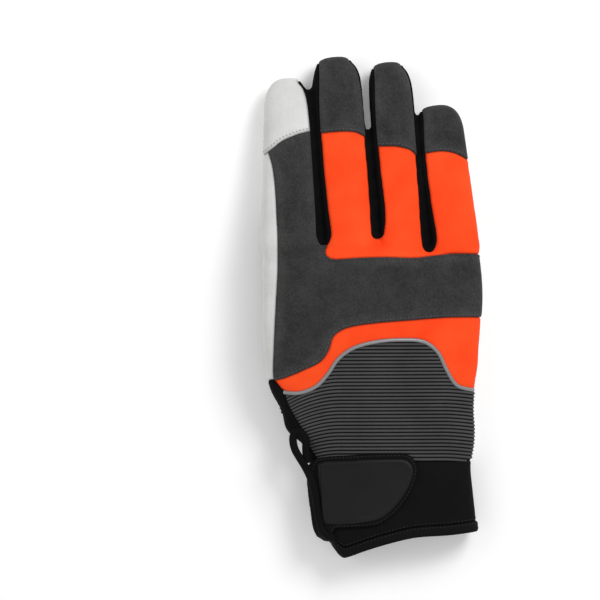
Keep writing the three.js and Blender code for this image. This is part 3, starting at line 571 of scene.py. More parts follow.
centre = hand[hand_faces].mean(1)
on = {name: field(centre) > 0 for name, field in fields.items()}
bounds_between = [touch(*pair, centre[:, 1])[0] for pair in pairs]
which = sum((centre[:, 0] > line).astype(int) for line in bounds_between)
past_palm = centre[:, 1] > palm_length * finger_share
label = np.full(len(hand_faces), "", dtype=object)
back, palm = on["back"], ~on["back"]
label[back & ~on["above_guard"]] = "hand_back"
label[back & on["above_guard"]] = "knuckle_guard"
label[back & on["above_knuckle"]] = "finger_back"
label[back & ~on["above_piping"]] = "ribbed_panel"
label[back & on["side_strip"]] = "index_side_strip"
label[palm] = "palm_ulnar"
label[palm & on["radial"]] = "palm_radial"
label[palm & on["thumb_side"]] = "thumb_base_leather"
label[palm & on["thumb_side"] & on["under_heel"] & on["above_heel_end"]] = "palm_heel"
for k, name in enumerate(fingers):
    mine = (which == k) & past_palm
    label[back & mine & on["cap_" + name]] = name + "_tip_cap"
    label[palm & mine & on["pad_" + name]] = name + "_middle_pad"
    label[palm & mine & on["tip_" + name]] = name + "_tip_pad"
label[back & on["knit_back"] & on["above_cuff"]] = "thumb_base_knit"
label[palm & on["knit_palm"] & ~on["under_heel"]] = "thumb_base_knit"
label[back & ~on["above_cuff"]] = "wrist_cuff"
label[palm & ~on["above_heel_end"]] = "wrist_cuff"
label[on["strip_edge"] & on["side_strip"] & on["above_cuff"] & ~on["cap_index"]] = "index_side_strip"
for k, (left, right) in enumerate(pairs):
    label[on["strip%d" % k]] = "fourchette_%s_%s" % (left, right)
label[~on["past_hem"]] = "cuff_hem"
label[~on["cuff_end"]] = "beyond"


def plain_noise(points, size, seed):
    """Soft noise from -1 to 1 at points in mm, with lumps of about a size in mm."""
    scale = 1 / size
    return np.array([noise.noise(Vector((p[0] * scale + seed, p[1] * scale, p[2] * scale))) for p in points])


def border_of(faces):
    """Edges with a face on one side only, in that face's direction."""
    edges = np.vstack([faces[:, [0, 1]], faces[:, [1, 2]], faces[:, [2, 0]]])
    size = int(edges.max()) + 1
    key = edges.min(1) * size + edges.max(1)
    _, first, count = np.unique(key, return_index=True, return_counts=True)
    return edges[first[count == 1]]


def finish_piece(made, node, slot):
    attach(made, "root")
    if node:
        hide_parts(*([node] if isinstance(node, str) else node))


def group_tree(name, **sizes):
    """A shader node group that takes a place and sizes and gives a height and a shade, and its ends."""
    tree = bpy.data.node_groups.new(name, "ShaderNodeTree")
    tree.interface.new_socket("Place", in_out="INPUT", socket_type="NodeSocketVector")
    for title, value in sizes.items():
        socket = tree.interface.new_socket(title, in_out="INPUT", socket_type="NodeSocketFloat")
        socket.default_value = value
    for title in ("Height", "Shade"):
        tree.interface.new_socket(title, in_out="OUTPUT", socket_type="NodeSocketFloat")
    return tree, tree.nodes.new("NodeGroupInput").outputs, tree.nodes.new("NodeGroupOutput").inputs


def node(tree, kind, links=(), **settings):
    """A node with its settings, and with links to its inputs by name or number."""
    made = tree.nodes.new(kind)
    for key, value in settings.items():
        setattr(made, key, value)
    for key, source in dict(links).items():
        if isinstance(source, bpy.types.NodeSocket):
            tree.links.new(source, made.inputs[key])
        else:
            made.inputs[key].default_value = source
    return made


def counted(tree, operation, *values):
    return node(tree, "ShaderNodeMath", enumerate(values), operation=operation).outputs[0]


def clouds(tree, place, size, detail, **more):
    links = {"Vector": place, "Scale": size, "Detail": detail, **more}
    return node(tree, "ShaderNodeTexNoise", links).outputs["Fac"]


def grain_group():
    """Leather grain: small pebbles with fine creases between them, and soft shade from place to place."""
    tree, start, end = group_tree("grain", Scale=700.0)
    place = start["Place"]
    pebble = node(tree, "ShaderNodeTexVoronoi",
                  {"Vector": place, "Scale": start["Scale"], "Smoothness": 0.6}, feature="SMOOTH_F1")
    wide = clouds(tree, place, 60.0, 5.0, Roughness=0.6)
    crease = clouds(tree, place, 260.0, 4.0, Roughness=0.65)
    tree.links.new(counted(tree, "ADD", pebble.outputs["Distance"], crease), end["Height"])
    tree.links.new(wide, end["Shade"])
    return tree


grain = grain_group()


def new_look(name, color, roughness, **values):
    """A material with its shader, object coordinates and the distance from the panel's edge."""
    look = bpy.data.materials.new(name)
    look.use_nodes = True
    look.diffuse_color = (*color, 1)
    tree = look.node_tree
    shader = tree.nodes["Principled BSDF"]
    shader.inputs["Base Color"].default_value = (*color, 1)
    shader.inputs["Roughness"].default_value = roughness
    for key, value in values.items():
        shader.inputs[key.replace("_", " ")].default_value = value
    place = tree.nodes.new("ShaderNodeTexCoord").outputs["Object"]
    edge = node(tree, "ShaderNodeAttribute", attribute_name="edge").outputs["Fac"]
    return look, tree, shader, place, edge


def use(tree, group, links):
    return node(tree, "ShaderNodeGroup", links, node_tree=group).outputs


def ramp(tree, source, stops):
    """Colours or greys along a value."""
    made = node(tree, "ShaderNodeValToRGB", {0: source})
    points = made.color_ramp.elements
    while len(points) < len(stops):
        points.new(0.5)
    for point, (at, color) in zip(points, stops):
        point.position = at
        point.color = (*color, 1) if isinstance(color, tuple) else (color, color, color, 1)
    return made.outputs["Color"]


def shaded(tree, color, mask):
    """A colour made darker by a mask."""
    links = {0: 1.0, 6: color, 7: mask}
    return node(tree, "ShaderNodeMix", links, data_type="RGBA", blend_type="MULTIPLY").outputs[2]


def bumped(tree, shader, height, strength, distance):
    made = node(tree, "ShaderNodeBump", {"Height": height, "Strength": strength, "Distance": distance})
    tree.links.new(made.outputs["Normal"], shader.inputs["Normal"])


lining_look = new_look("lining", (0.035, 0.035, 0.037), 0.95)[0]
outer_skins = {}
# In mm: how far a panel's fullness, its tucked edge and the bead beside it reach
full_reach, tuck_reach, bead_place, bead_reach = 7, 0.7, 1.3, 0.8
edge_reach = 6
# How much thinner a panel is close to its seam, and how far over the floor its two faces stay
rim_reach, rim_share = 0.8, 0.8
outer_rest, inner_rest = 0.02, 0.3


def panel(name, look, slot, lift=0.0, puff=0.0, bead=0.2, tuck=0.45, thick=1.6, relief=None,
          lining=lining_look, skin=None):
    """A panel of the glove with its own thickness: its edge is tucked into the seam, with a small
    bead beside it, and its middle is a little full."""
    source, source_faces, labels = skin or (hand, hand_faces, label)
    faces = source_faces[labels == name]
    used, back = np.unique(faces, return_inverse=True)
    faces = back.reshape(-1, 3)
    points, normals = source[used, :3], source[used, 3:6]
    normals = normals / np.linalg.norm(normals, axis=1)[:, None]
    border = border_of(faces)
    rim = np.unique(border)
    tree = KDTree(len(rim))
    for i, k in enumerate(rim):
        tree.insert(points[k], i)
    tree.balance()
    away = np.array([tree.find(p)[2] for p in points])
    height = lift + puff * (1 - np.exp(-away / full_reach))
    height -= tuck * np.exp(-(away / tuck_reach) ** 2)
    height += bead * np.exp(-((away - bead_place) / bead_reach) ** 2)
    if relief is not None:
        height += relief(points, away)
    outer = points + normals * height[:, None]
    outer[:, 2] = np.maximum(outer[:, 2], outer_rest)
    inner = points - normals * (thick * np.where(away < rim_reach, rim_share, 1.0))[:, None]
    inner[:, 2] = np.maximum(inner[:, 2], inner_rest)
    count = len(points)
    a, b = border.T
    rims = np.vstack([np.stack([b, a, a + count], 1), np.stack([b, a + count, b + count], 1)])
    all_faces = np.vstack([faces, faces[:, ::-1] + count, rims])
    made = mesh_object(name + "_panel", np.vstack([outer, inner]) + shift, all_faces)
    edge = made.data.attributes.new("edge", "FLOAT", "POINT")
    edge.data.foreach_set("value", np.tile(np.clip(away / edge_reach, 0, 1), 2))
    made.data.materials.append(look)
    if lining is not None:
        made.data.materials.append(lining)
        slots = np.zeros(len(all_faces), int)
        slots[len(faces):2 * len(faces)] = 1
        made.data.polygons.foreach_set("material_index", slots)
    made.data.polygons.foreach_set("use_smooth", np.ones(len(all_faces), bool))
    outer_skins[name] = (outer, faces)
    finish_piece(made, name, slot)
    return made


# Palm and pads: pale goat leather, cut in panels that are sewn with turned seams. The pads under
# the fingers are short lengths with a seam at each joint of the finger.
white_leather, tree, shader, place, edge = new_look("white_leather", (0.68, 0.68, 0.67), 0.5)
skin = use(tree, grain, {"Place": place, "Scale": 750.0})
shade = ramp(tree, skin["Shade"], [(0.3, (0.6, 0.6, 0.59)), (0.7, (0.68, 0.68, 0.67))])
# Darker within about a mm of each seam: a painted shade where the leather tucks into the seam.
seam = ramp(tree, edge, [(0.0, (0.62, 0.61, 0.6)), (0.22, 1)])
tree.links.new(shaded(tree, shade, seam), shader.inputs["Base Color"])
tree.links.new(ramp(tree, skin["Shade"], [(0.3, 0.6), (0.7, 0.44)]), shader.inputs["Roughness"])
bumped(tree, shader, skin["Height"], 0.4, 0.0004)
fold_stretch, fold_rate, fold_reach = 0.45, 2.2, 4


def leather_folds(size, depth, seed):
    """Soft creases along the hand with full leather between them, fading to the seams."""
    def relief(points, away):
        soft = plain_noise(points * (1, fold_stretch, 1), size, seed)
        return depth * (1 - np.abs(soft) * fold_rate) * np.clip(away / fold_reach, 0, 1)
    return relief


# Rows of quilting across the palm, as shares across and along it
quilt_rows = [palm_line(row) for row in (
    [(-0.3675, 0.904), (-0.15, 0.93), (0.02, 0.938)], [(-0.316, 0.772), (-0.15, 0.778), (0.016, 0.768)],
    [(-0.141, 0.613), (-0.06, 0.613), (0.004, 0.605)])]
quilt_depth, quilt_reach = 0.9, 2.4
gather_pitch, gather_depth, gather_reach, gather_from = 3.4, 0.55, 6, 0.45


def quilted(points, away):
    """Leather drawn in along the rows of quilting."""
    rows = np.vstack(quilt_rows)
    near = np.array([np.hypot(rows[:, 0] - p[0], rows[:, 1] - p[1]).min() for p in points])
    return leather_folds(9, 0.35, 2.2)(points, away) - quilt_depth * np.exp(-(near / quilt_reach) ** 2)


def gathered(points, away):
    """Leather in small pleats where it is sewn round the root of the thumb."""
    pleats = np.sin(2 * np.pi * points[:, 0] / gather_pitch) * np.exp(-away / gather_reach)
    pleats *= points[:, 1] > gather_from * palm_length
    return leather_folds(9, 0.35, 6.2)(points, away) + gather_depth * pleats


palm_reliefs = {"palm_radial": quilted, "palm_ulnar": leather_folds(9, 0.35, 3.1),
                "thumb_base_leather": gathered, "palm_heel": leather_folds(9, 0.35, 9.3)}
for name, relief in palm_reliefs.items():
    panel(name, white_leather, "leather_white", puff=0.4, relief=relief)
for k, name in enumerate(fingers):
    for part in ("_middle_pad", "_tip_pad"):
        panel(name + part, white_leather, "leather_white", puff=0.5, relief=leather_folds(7, 0.3, 5.7 * k))

# Thumb stall: leather on the side that grips and stretch knit on the outer side, sewn along its
# length. It is folded under the palm and pressed flat between the palm and the surface.
thumb_length, thumb_width, thumb_depth = 120.0, 30.0, 18.5
thumb_root = 0.0935
thumb_clear, thinnest = 0.5, 0.4
knit_share = 0.2
# along, across, height, width, depth: shares of the thumb's length, the palm's width, and its own sizes
thumb_rows = np.array([
    (0, -0.17, 0.86, 0.9, 1), (0.172, -0.3, 0.72, 0.93, 1.15), (0.386, -0.345, 0.52, 0.98, 1.06),
    (0.6, -0.357, 0.48, 1, 1), (0.816, -0.366, 0.46, 0.96, 0.96), (1, -0.378, 0.42, 0.93, 0.9)])
thumb_round, thumb_squareness, frame_step = 0.84, 2.4, 0.02
thumb_step, thumb_tip_steps, ray_start = 0.016, 18, -20


def thumb_frame(along):
    across, height, width, depth = smooth_read(thumb_rows, along).T
    after, before = along + frame_step, along - frame_step
    drift = smooth_read(thumb_rows, after)[:, 0] - smooth_read(thumb_rows, before)[:, 0]
    turn = -np.arctan2(drift * palm_width, (np.clip(after, 0, 1) - np.clip(before, 0, 1)) * thumb_length)
    end = (along - thumb_round) / (1 - thumb_round)
    return (across * palm_width, thumb_root * palm_length + along * thumb_length, height * thumb_depth, turn,
            width * thumb_width / 2 * tip_round(end, thumb_squareness),
            depth * thumb_depth / 2 * tip_round(end, depth_squareness))


def tree_of(points, faces):
    return BVHTree.FromPolygons(points[:, :3].tolist(), faces.tolist())


hand_tree = tree_of(hand, hand_faces)


def thumb_form():
    rings = []
    places = stations(0, thumb_step, thumb_round, thumb_tip_steps)
    for x, y, z, turn, half_width, half_depth in zip(*thumb_frame(places)):
        ring = section(x, y, z, turn, 0, half_width, half_depth, finger_squareness, finger_sides)
        for p in ring:
            hit = hand_tree.ray_cast(Vector((p[0], p[1], ray_start)), Vector((0, 0, 1)))[0]
            if hit:
                p[2] = min(p[2], max(hit.z - thumb_clear, thinnest))
        rings.append(ring)
    return skinned(rings)


def without_crumbs(points, faces):
    """The largest connected part of a skin. Loose crumbs are left where the form is pressed thin."""
    mark = np.arange(len(points))
    while True:
        low = mark[faces].min(1)
        fresh = mark.copy()
        for i in range(3):
            np.minimum.at(fresh, faces[:, i], low)
        fresh = fresh[fresh]
        if (fresh == mark).all():
            break
        mark = fresh
    kinds, counts = np.unique(mark[faces[:, 0]], return_counts=True)
    used, back = np.unique(faces[mark[faces[:, 0]] == kinds[counts.argmax()]], return_inverse=True)
    return points[used], back.reshape(-1, 3)


thumb, thumb_faces = without_crumbs(*remeshed("thumb", [thumb_form()], voxel, 3))
thumb = with_normals(thumb, thumb_faces)


def grip_side(p):
    along = (p[:, 1] - thumb_root * palm_length) / thumb_length
    x = thumb_frame(along)[0]
    return p[:, 0] - (x - knit_share * thumb_width)


thumb, thumb_faces = score(thumb, thumb_faces, grip_side)
thumb_label = np.where(grip_side(thumb[thumb_faces].mean(1)) > 0, "thumb_front", "thumb_back").astype(object)
thumb_skin = (thumb, thumb_faces, thumb_label)
panel("thumb_front", white_leather, "leather_white", relief=leather_folds(6, 0.25, 9.3), lining=None,
      skin=thumb_skin)


def weave_group():
    """Knit or woven cloth: crossing yarns at a given spacing, and soft shade from place to place."""
    tree, start, end = group_tree("weave", Spacing=0.0006, Stretch=0.7)
    place = start["Place"]
    count = counted(tree, "DIVIDE", 3.14159, start["Spacing"])
    scaled = node(tree, "ShaderNodeVectorMath", {0: place, 3: count}, operation="SCALE")
    parts = node(tree, "ShaderNodeSeparateXYZ", {0: scaled.outputs[0]}).outputs
    across = counted(tree, "SINE", parts["X"])
    along = counted(tree, "SINE", counted(tree, "MULTIPLY", parts["Y"], start["Stretch"]))
    yarns = counted(tree, "MULTIPLY", across, along)
    tree.links.new(counted(tree, "ADD", yarns, clouds(tree, place, 2500.0, 2.0)), end["Height"])
    tree.links.new(clouds(tree, place, 45.0, 4.0, Roughness=0.6), end["Shade"])
    return tree


weave = weave_group()


def cloth_look(name, light, dark, spacing, roughness=0.9, strength=0.3, stretch=0.7, **values):
    look, tree, shader, place, edge = new_look(name, light, roughness, **values)
    cloth = use(tree, weave, {"Place": place, "Spacing": spacing, "Stretch": stretch})
    shade = ramp(tree, cloth["Shade"], [(0.3, dark), (0.7, light)])
    # Darker where the yarns dip: a painted shade in the hollows of the weave.
    painted_weave_shade = ramp(tree, cloth["Height"], [(0.0, 0.82), (1.0, 1)])
    # Darker within about a mm of each seam: a painted shade where the cloth tucks into the seam.
    seam = ramp(tree, edge, [(0.0, 0.6), (0.2, 1)])
    tree.links.new(shaded(tree, shaded(tree, shade, painted_weave_shade), seam), shader.inputs["Base Color"])
    bumped(tree, shader, cloth["Height"], strength, 0.0002)
    return look


black_knit = cloth_look("black_knit", (0.006, 0.006, 0.0064), (0.003, 0.003, 0.0032), 0.0007, 1.0,
                        Specular_IOR_Level=0.1)
panel("thumb_back", black_knit, "knit_black", lining=None, skin=thumb_skin)

# Strips of stretch knit between the fingers. Each runs up one finger's side, over the tips and
# down the next finger's, and closes the crotch between them.
strip_sink, sink_from, sink_run = 1.3, 1.5, 4
for left, right in pairs:
    panel("fourchette_%s_%s" % (left, right), black_knit, "knit_black", tuck=0.3, bead=0.1, thick=1.2,
          lining=None, relief=lambda p, away: -strip_sink * np.clip((away - sink_from) / sink_run, 0, 1))

# Strip of pale leather along the thumb side of the index finger and the hand, and the cap of the
# same leather over the index fingertip. The cap's edge is turned and sewn down over the strip.
panel("index_side_strip", white_leather, "leather_white", lift=0.1, puff=0.5,
      relief=leather_folds(8, 0.3, 2.2))
panel("index_tip_cap", white_leather, "leather_white", lift=0.5, puff=0.3, bead=0.35, tuck=0.25,
      relief=leather_folds(14, 0.12, 4.4))

# Hi-vis cloth over the backs of three fingers: a smooth polyester knit in one cut piece, sewn into
# the seams flat, so that it puckers a little beside them.
pucker_reach, fold_fade = 5, 6


def puckers(size, depth, seed):
    """Cloth drawn up beside its seams."""
    return lambda points, away: depth * plain_noise(points, size, seed) * np.exp(-away / pucker_reach)


# The hi-vis cloth also gives off a little light of its own: a painted glow that stands in for its fluorescent
# brightness.
orange_cloth = cloth_look("orange_cloth", (1.0, 0.088, 0.015), (0.95, 0.052, 0.006), 0.0006, 0.8, 0.15,
                          Specular_IOR_Level=0.15, Emission_Color=(1.0, 0.06, 0.01, 1), Emission_Strength=0.1)
panel("finger_back", orange_cloth, "knit_orange", puff=0.3, tuck=0.5, bead=0.1, relief=puckers(5, 0.35, 1.7))

# Padded band of suede over the knuckles and the index finger, and suede caps over three fingertips.
# The nap is soft and a little blotchy. Edges lie on the cloth beside them and are topstitched.


def nap_group():
    """Suede nap: cloudy light and dark where the fibres lie different ways, with a fine tooth."""
    tree, start, end = group_tree("nap", Size=90.0)
    cloud = clouds(tree, start["Place"], start["Size"], 7.0, Roughness=0.68, Distortion=0.5)
    tooth = clouds(tree, start["Place"], 900.0, 5.0, Roughness=0.85)
    shares = counted(tree, "MULTIPLY", cloud, 0.55), counted(tree, "MULTIPLY", tooth, 0.85)
    tree.links.new(tooth, end["Height"])
    tree.links.new(counted(tree, "ADD", *shares), end["Shade"])
    return tree


suede, tree, shader, place, edge = new_look("grey_suede", (0.042, 0.042, 0.043), 0.95, Sheen_Weight=0.06,
                                            Sheen_Roughness=0.5, Specular_IOR_Level=0.15)
fibres = use(tree, nap_group(), {"Place": place, "Size": 90.0})
shade = ramp(tree, fibres["Shade"], [(0.5, (0.022, 0.022, 0.0225)), (0.7, (0.044, 0.044, 0.045)),
                                     (0.85, (0.062, 0.062, 0.063))])
# The suede is darkest right at its seams, a painted shade where it tucks into the seam. A little way in it is
# lighter, and it darkens again towards the middle of each piece.
seam = ramp(tree, edge, [(0.0, 0.7), (0.1, 1), (0.45, 0.92), (1.0, 0.72)])
tree.links.new(shaded(tree, shade, seam), shader.inputs["Base Color"])
bumped(tree, shader, fibres["Height"], 0.5, 0.0003)


def broad_folds(size, depth, seed):
    """Low waves over a panel, fading to its seams."""
    return lambda points, away: depth * plain_noise(points, size, seed) * np.clip(away / fold_fade, 0, 1)


panel("knuckle_guard", suede, "suede_grey", lift=0.45, puff=0.6, bead=0.12, tuck=0.15,
      relief=broad_folds(22, 0.5, 6.1))
for k, name in enumerate(("middle", "ring", "little")):
    panel(name + "_tip_cap", suede, "suede_grey", lift=0.4, puff=0.3, bead=0.15, tuck=0.15,
          relief=broad_folds(12, 0.3, 7.7 + k))

# Back of the hand: a field of the hi-vis cloth, and below it a panel of ribbed elastic that draws
# the wrist in. Each rib is a covered cord, and they lie in arcs over the back of the wrist.
panel("hand_back", orange_cloth, "knit_orange", puff=0.7, tuck=0.4, bead=0.1,
      relief=broad_folds(13, 0.8, 8.8))
rib_ground = cloth_look("rib_ground", (0.008, 0.008, 0.0085), (0.005, 0.005, 0.0055), 0.0005, 0.95,
                        Specular_IOR_Level=0.15)
panel("ribbed_panel", rib_ground, "knit_ribbed", puff=0.2, relief=broad_folds(30, 0.5, 3.3))

rib_pitch = 1.85
rib_width, rib_height = 1.2, 0.95
rib_top, rib_count = 63.5, 36
# How far the ribs drop at the panel's two sides, where the drop starts and how far it takes
rib_drop_left, left_bend, left_run = 7.2, -16.8, 25.75
rib_drop_right, right_bend, right_run = 1.6, 34.7, 18
cord_step = 1.5
thread_width = 0.45
below, above = -50, 90


def draped(line, surface, lift, from_below=False):
    """Runs of points in space where a line of the plan lies on a surface."""
    runs = [[]]
    for x, y in line:
        start, way = (below, 1) if from_below else (above, -1)
        hit, normal, _, _ = surface.ray_cast(Vector((x, y, start)), Vector((0, 0, way)))
        if hit is None:
            runs.append([])
        else:
            laid = hit + normal * lift
            runs[-1].append((laid.x, laid.y, max(laid.z, thread_width / 2)))
    return [np.array(run) for run in runs if len(run) > 1]


def chained(runs):
    """Points and edges of a drawing made of several runs of points."""
    edges, start = [], 0
    for run in runs:
        edges += [(i, i + 1) for i in range(start, start + len(run) - 1)]
        start += len(run)
    return np.vstack(runs), edges


def contours(name, field, levels, lift):
    """Points and edges of the lines on a panel where a field has given levels."""
    outer, faces = outer_skins[name]
    lifted = with_normals(outer, faces)
    lifted = lifted[:, :3] + lifted[:, 3:] * lift
    reading = field(outer)
    drawn, links, start = [], [], 0
    for level in levels:
        value = reading - level
        above = value > 0
        crossed = faces[above[faces].any(1) & ~above[faces].all(1)]
        sides = np.stack([crossed[:, [0, 1]], crossed[:, [1, 2]], crossed[:, [2, 0]]], 1)
        ends = sides[above[sides[..., 0]] != above[sides[..., 1]]]
        if not len(ends):
            continue
        ends.sort(axis=1)
        unique, back = np.unique(ends, axis=0, return_inverse=True)
        a, b = unique.T
        share = (value[a] / (value[a] - value[b]))[:, None]
        drawn.append(lifted[a] + (lifted[b] - lifted[a]) * share)
        links += (back.reshape(-1, 2) + start).tolist()
        start += len(unique)
    return np.vstack(drawn), links


def geometry_tree(name, inputs, shape):
    """A geometry tree that grows a shape on a line drawing, in steps of its first input, and ends it."""
    tree = bpy.data.node_groups.new(name, "GeometryNodeTree")
    sockets = [("Line", "Geometry"), *((title, "Float") for title in inputs), ("Finish", "Material")]
    for title, kind in sockets:
        tree.interface.new_socket(title, in_out="INPUT", socket_type="NodeSocket" + kind)
    tree.interface.new_socket("Made", in_out="OUTPUT", socket_type="NodeSocketGeometry")
    start = tree.nodes.new("NodeGroupInput").outputs
    curve = node(tree, "GeometryNodeMeshToCurve", {"Mesh": start["Line"]}).outputs[0]
    steps = {"Curve": curve, "Length": start[inputs[0]]}
    even = node(tree, "GeometryNodeResampleCurve", steps, mode="LENGTH")
    grown_shape = shape(tree, start, even.outputs[0])
    real = node(tree, "GeometryNodeRealizeInstances", {"Geometry": grown_shape}).outputs[0]
    soft = node(tree, "GeometryNodeSetShadeSmooth", {"Geometry": real}).outputs[0]
    done = node(tree, "GeometryNodeSetMaterial", {"Geometry": soft, "Material": start["Finish"]}).outputs[0]
    tree.links.new(done, tree.nodes.new("NodeGroupOutput").inputs["Made"])
    return tree


def cord_shape(tree, start, curve):
    """A tube of oval section, its flat side to the surface."""
    upright = node(tree, "GeometryNodeSetCurveNormal", {"Curve": curve}, mode="Z_UP").outputs[0]
    ring = node(tree, "GeometryNodeCurvePrimitiveCircle", {"Resolution": 10, "Radius": 0.5}).outputs[0]
    size = node(tree, "ShaderNodeCombineXYZ", {"X": start["Width"], "Y": start["Height"], "Z": 1.0})
    oval = node(tree, "GeometryNodeTransform", {"Geometry": ring, "Scale": size.outputs[0]}).outputs[0]
    tube = {"Curve": upright, "Profile Curve": oval, "Fill Caps": True}
    return node(tree, "GeometryNodeCurveToMesh", tube).outputs[0]


def grown(name, points, edges, tree, sizes, finish, slot, replaced=None):
    """Runs a geometry tree on a line drawing in space and keeps the result as a plain mesh."""
    made = mesh_object(name, points + shift, edges=edges)
    change = made.modifiers.new("grow", "NODES")
    change.node_group = tree
    sockets = {item.name: item.identifier for item in tree.interface.items_tree if item.in_out == "INPUT"}
    for key, value in sizes.items():
        change[sockets[key]] = value
    change[sockets["Finish"]] = finish
    mesh = applied(made)
    made.modifiers.clear()
    made.data = mesh
    finish_piece(made, replaced, slot)


covered_cord = geometry_tree("covered_cord", ["Step", "Width", "Height"], cord_shape)


def corded(name, points, edges, width, height, finish, slot, replaced=None):
    sizes = {"Step": cord_step / 1000, "Width": width / 1000, "Height": height / 1000}
    grown(name, points, edges, covered_cord, sizes, finish, slot, replaced)


rib_cloth = cloth_look("rib_cloth", (0.14, 0.14, 0.142), (0.1, 0.1, 0.102), 0.0005, 0.85, 0.3,
                       Specular_IOR_Level=0.2)


def rib_place(p):
    """Which rib a point of the panel is on, counted down from the top."""
    bend = (rib_drop_left * (np.clip(left_bend - p[:, 0], 0, None) / left_run) ** 2
            + rib_drop_right * (np.clip(p[:, 0] - right_bend, 0, None) / right_run) ** 2)
    return (rib_top - p[:, 1] - bend) / rib_pitch


corded("elastic_ribs", *contours("ribbed_panel", rib_place, np.arange(rib_count), 0.1), rib_width, rib_height,
       rib_cloth, "knit_ribbed")

# Knit at the root of the thumb: a gusset of the same black stretch knit as the fingers' sides, sewn
# between the ribbed panel, the leather at the thumb and the cuff.
panel("thumb_base_knit", black_knit, "knit_black", puff=0.8, lift=0.2, tuck=0.2)

# Reflective piping along the edge of the ribbed panel: a cord in a folded tape with a silver grey
# face, caught in the seam.
piping_width, piping_start, piping_end = 2.0, -46.3, 53.6
silver, tree, shader, place, edge = new_look("reflective_tape", (0.27, 0.27, 0.28), 0.38, Metallic=0.25)
beads = node(tree, "ShaderNodeTexVoronoi", {"Vector": place, "Scale": 2200.0})
tree.links.new(ramp(tree, beads.outputs["Distance"], [(0.0, (0.31, 0.31, 0.32)), (0.8, (0.22, 0.22, 0.23))]),
               shader.inputs["Base Color"])
bumped(tree, shader, beads.outputs["Distance"], 0.25, 0.0001)
piping_line = piping_seam[(piping_seam[:, 0] > piping_start) & (piping_seam[:, 0] < piping_end)]
corded("piping_cord", *chained(draped(piping_line, hand_tree, 0.35)), piping_width, piping_width, silver,
       "piping_reflective", "reflective_piping")

# Cuff: stretch foam cloth with a jersey face, sewn to the hand at the wrist and left open at the
# end, where a folded binding is stitched round it.
foam_cloth = cloth_look("foam_cloth", (0.0062, 0.0062, 0.0066), (0.0042, 0.0042, 0.0045), 0.0004, 0.9, 0.2,
                        Specular_IOR_Level=0.1)
inner_cloth = cloth_look("inner_cloth", (0.02, 0.02, 0.021), (0.015, 0.015, 0.016), 0.0006, 0.95)
panel("wrist_cuff", foam_cloth, "neoprene_black", puff=0.3, thick=3.0, relief=broad_folds(18, 0.5, 5.5),
      lining=inner_cloth)
binding = cloth_look("woven_binding", (0.0048, 0.0048, 0.0051), (0.003, 0.003, 0.0032), 0.0009, 0.8, 0.45,
                     1.0, Specular_IOR_Level=0.12)
panel("cuff_hem", binding, "binding_black", lift=0.8, puff=0.2, tuck=0.5, bead=0.2, thick=3.8, lining=None)

# Wrist strap: a tab of stretch cloth with a bound edge, and a smooth moulded patch sewn on it. The
# patch is bare. The strap closes over the cuff.
tab_rows = [(-0.385, -0.07), (-0.362, 0.0), (-0.32, 0.034), (-0.078, 0.0615), (0.17, 0.072), (0.232, 0.046),
            (0.269, -0.041), (0.2754, -0.113), (0.2444, -0.287), (0.1824, -0.451), (0.1017, -0.585),
            (0.0149, -0.6615), (-0.171, -0.687), (-0.235, -0.7), (-0.2457, -0.8), (-0.3, -0.8),
            (-0.345, -0.72), (-0.365, -0.55), (-0.38, -0.3)]
patch_rows = [(-0.325, -0.03), (-0.305, -0.01), (-0.078, 0.01), (0.17, 0.02), (0.22, -0.01), (0.2444, -0.072),
              (0.2444, -0.154), (0.1886, -0.359), (0.083, -0.554), (-0.016, -0.62), (-0.27, -0.655),
              (-0.296, -0.63), (-0.315, -0.35)]


def cuff_outline(rows):
    points = np.array(rows + rows[:1]) * (cuff_width, cuff_length)
    return smooth_line(points)[:-1]


def patch_of(name, outline):
    """The part of the back's surface inside an outline of the plan, as a skin with a label."""
    field = distance_in(outline)
    points, faces = score(hand, hand_faces, field)
    middle = points[faces].mean(1)
    inside = (field(middle) > 0) & (back_of_hand(middle) > 0)
    return points, faces, np.where(inside, name, "").astype(object)


tab_outline = cuff_outline(tab_rows)
panel("strap_tab", foam_cloth, "strap_rubber", lift=2.0, puff=0.2, bead=0.3, tuck=0.3, thick=-0.35,
      lining=None, skin=patch_of("strap_tab", tab_outline))
moulded, tree, shader, place, edge = new_look("moulded_patch", (0.0075, 0.0075, 0.008), 0.5,
                                              Specular_IOR_Level=0.18)
fine = use(tree, grain, {"Place": place, "Scale": 1500.0})
tree.links.new(ramp(tree, fine["Shade"], [(0.3, (0.006, 0.006, 0.0065)), (0.7, (0.0085, 0.0085, 0.009))]),
               shader.inputs["Base Color"])
bumped(tree, shader, fine["Height"], 0.12, 0.0002)
panel("strap_panel", moulded, "strap_rubber", lift=3.1, bead=0.25, tuck=0.6, thick=-2.1, lining=None,
      skin=patch_of("strap_panel", cuff_outline(patch_rows)))

# Pull loop: the strap's edge binding runs on past its corner and turns back on itself beside the
# wrist. It is a folded woven tape, rolled to a soft tube.
loop_width, loop_height, loop_steps = 4.0, 2.6, 90
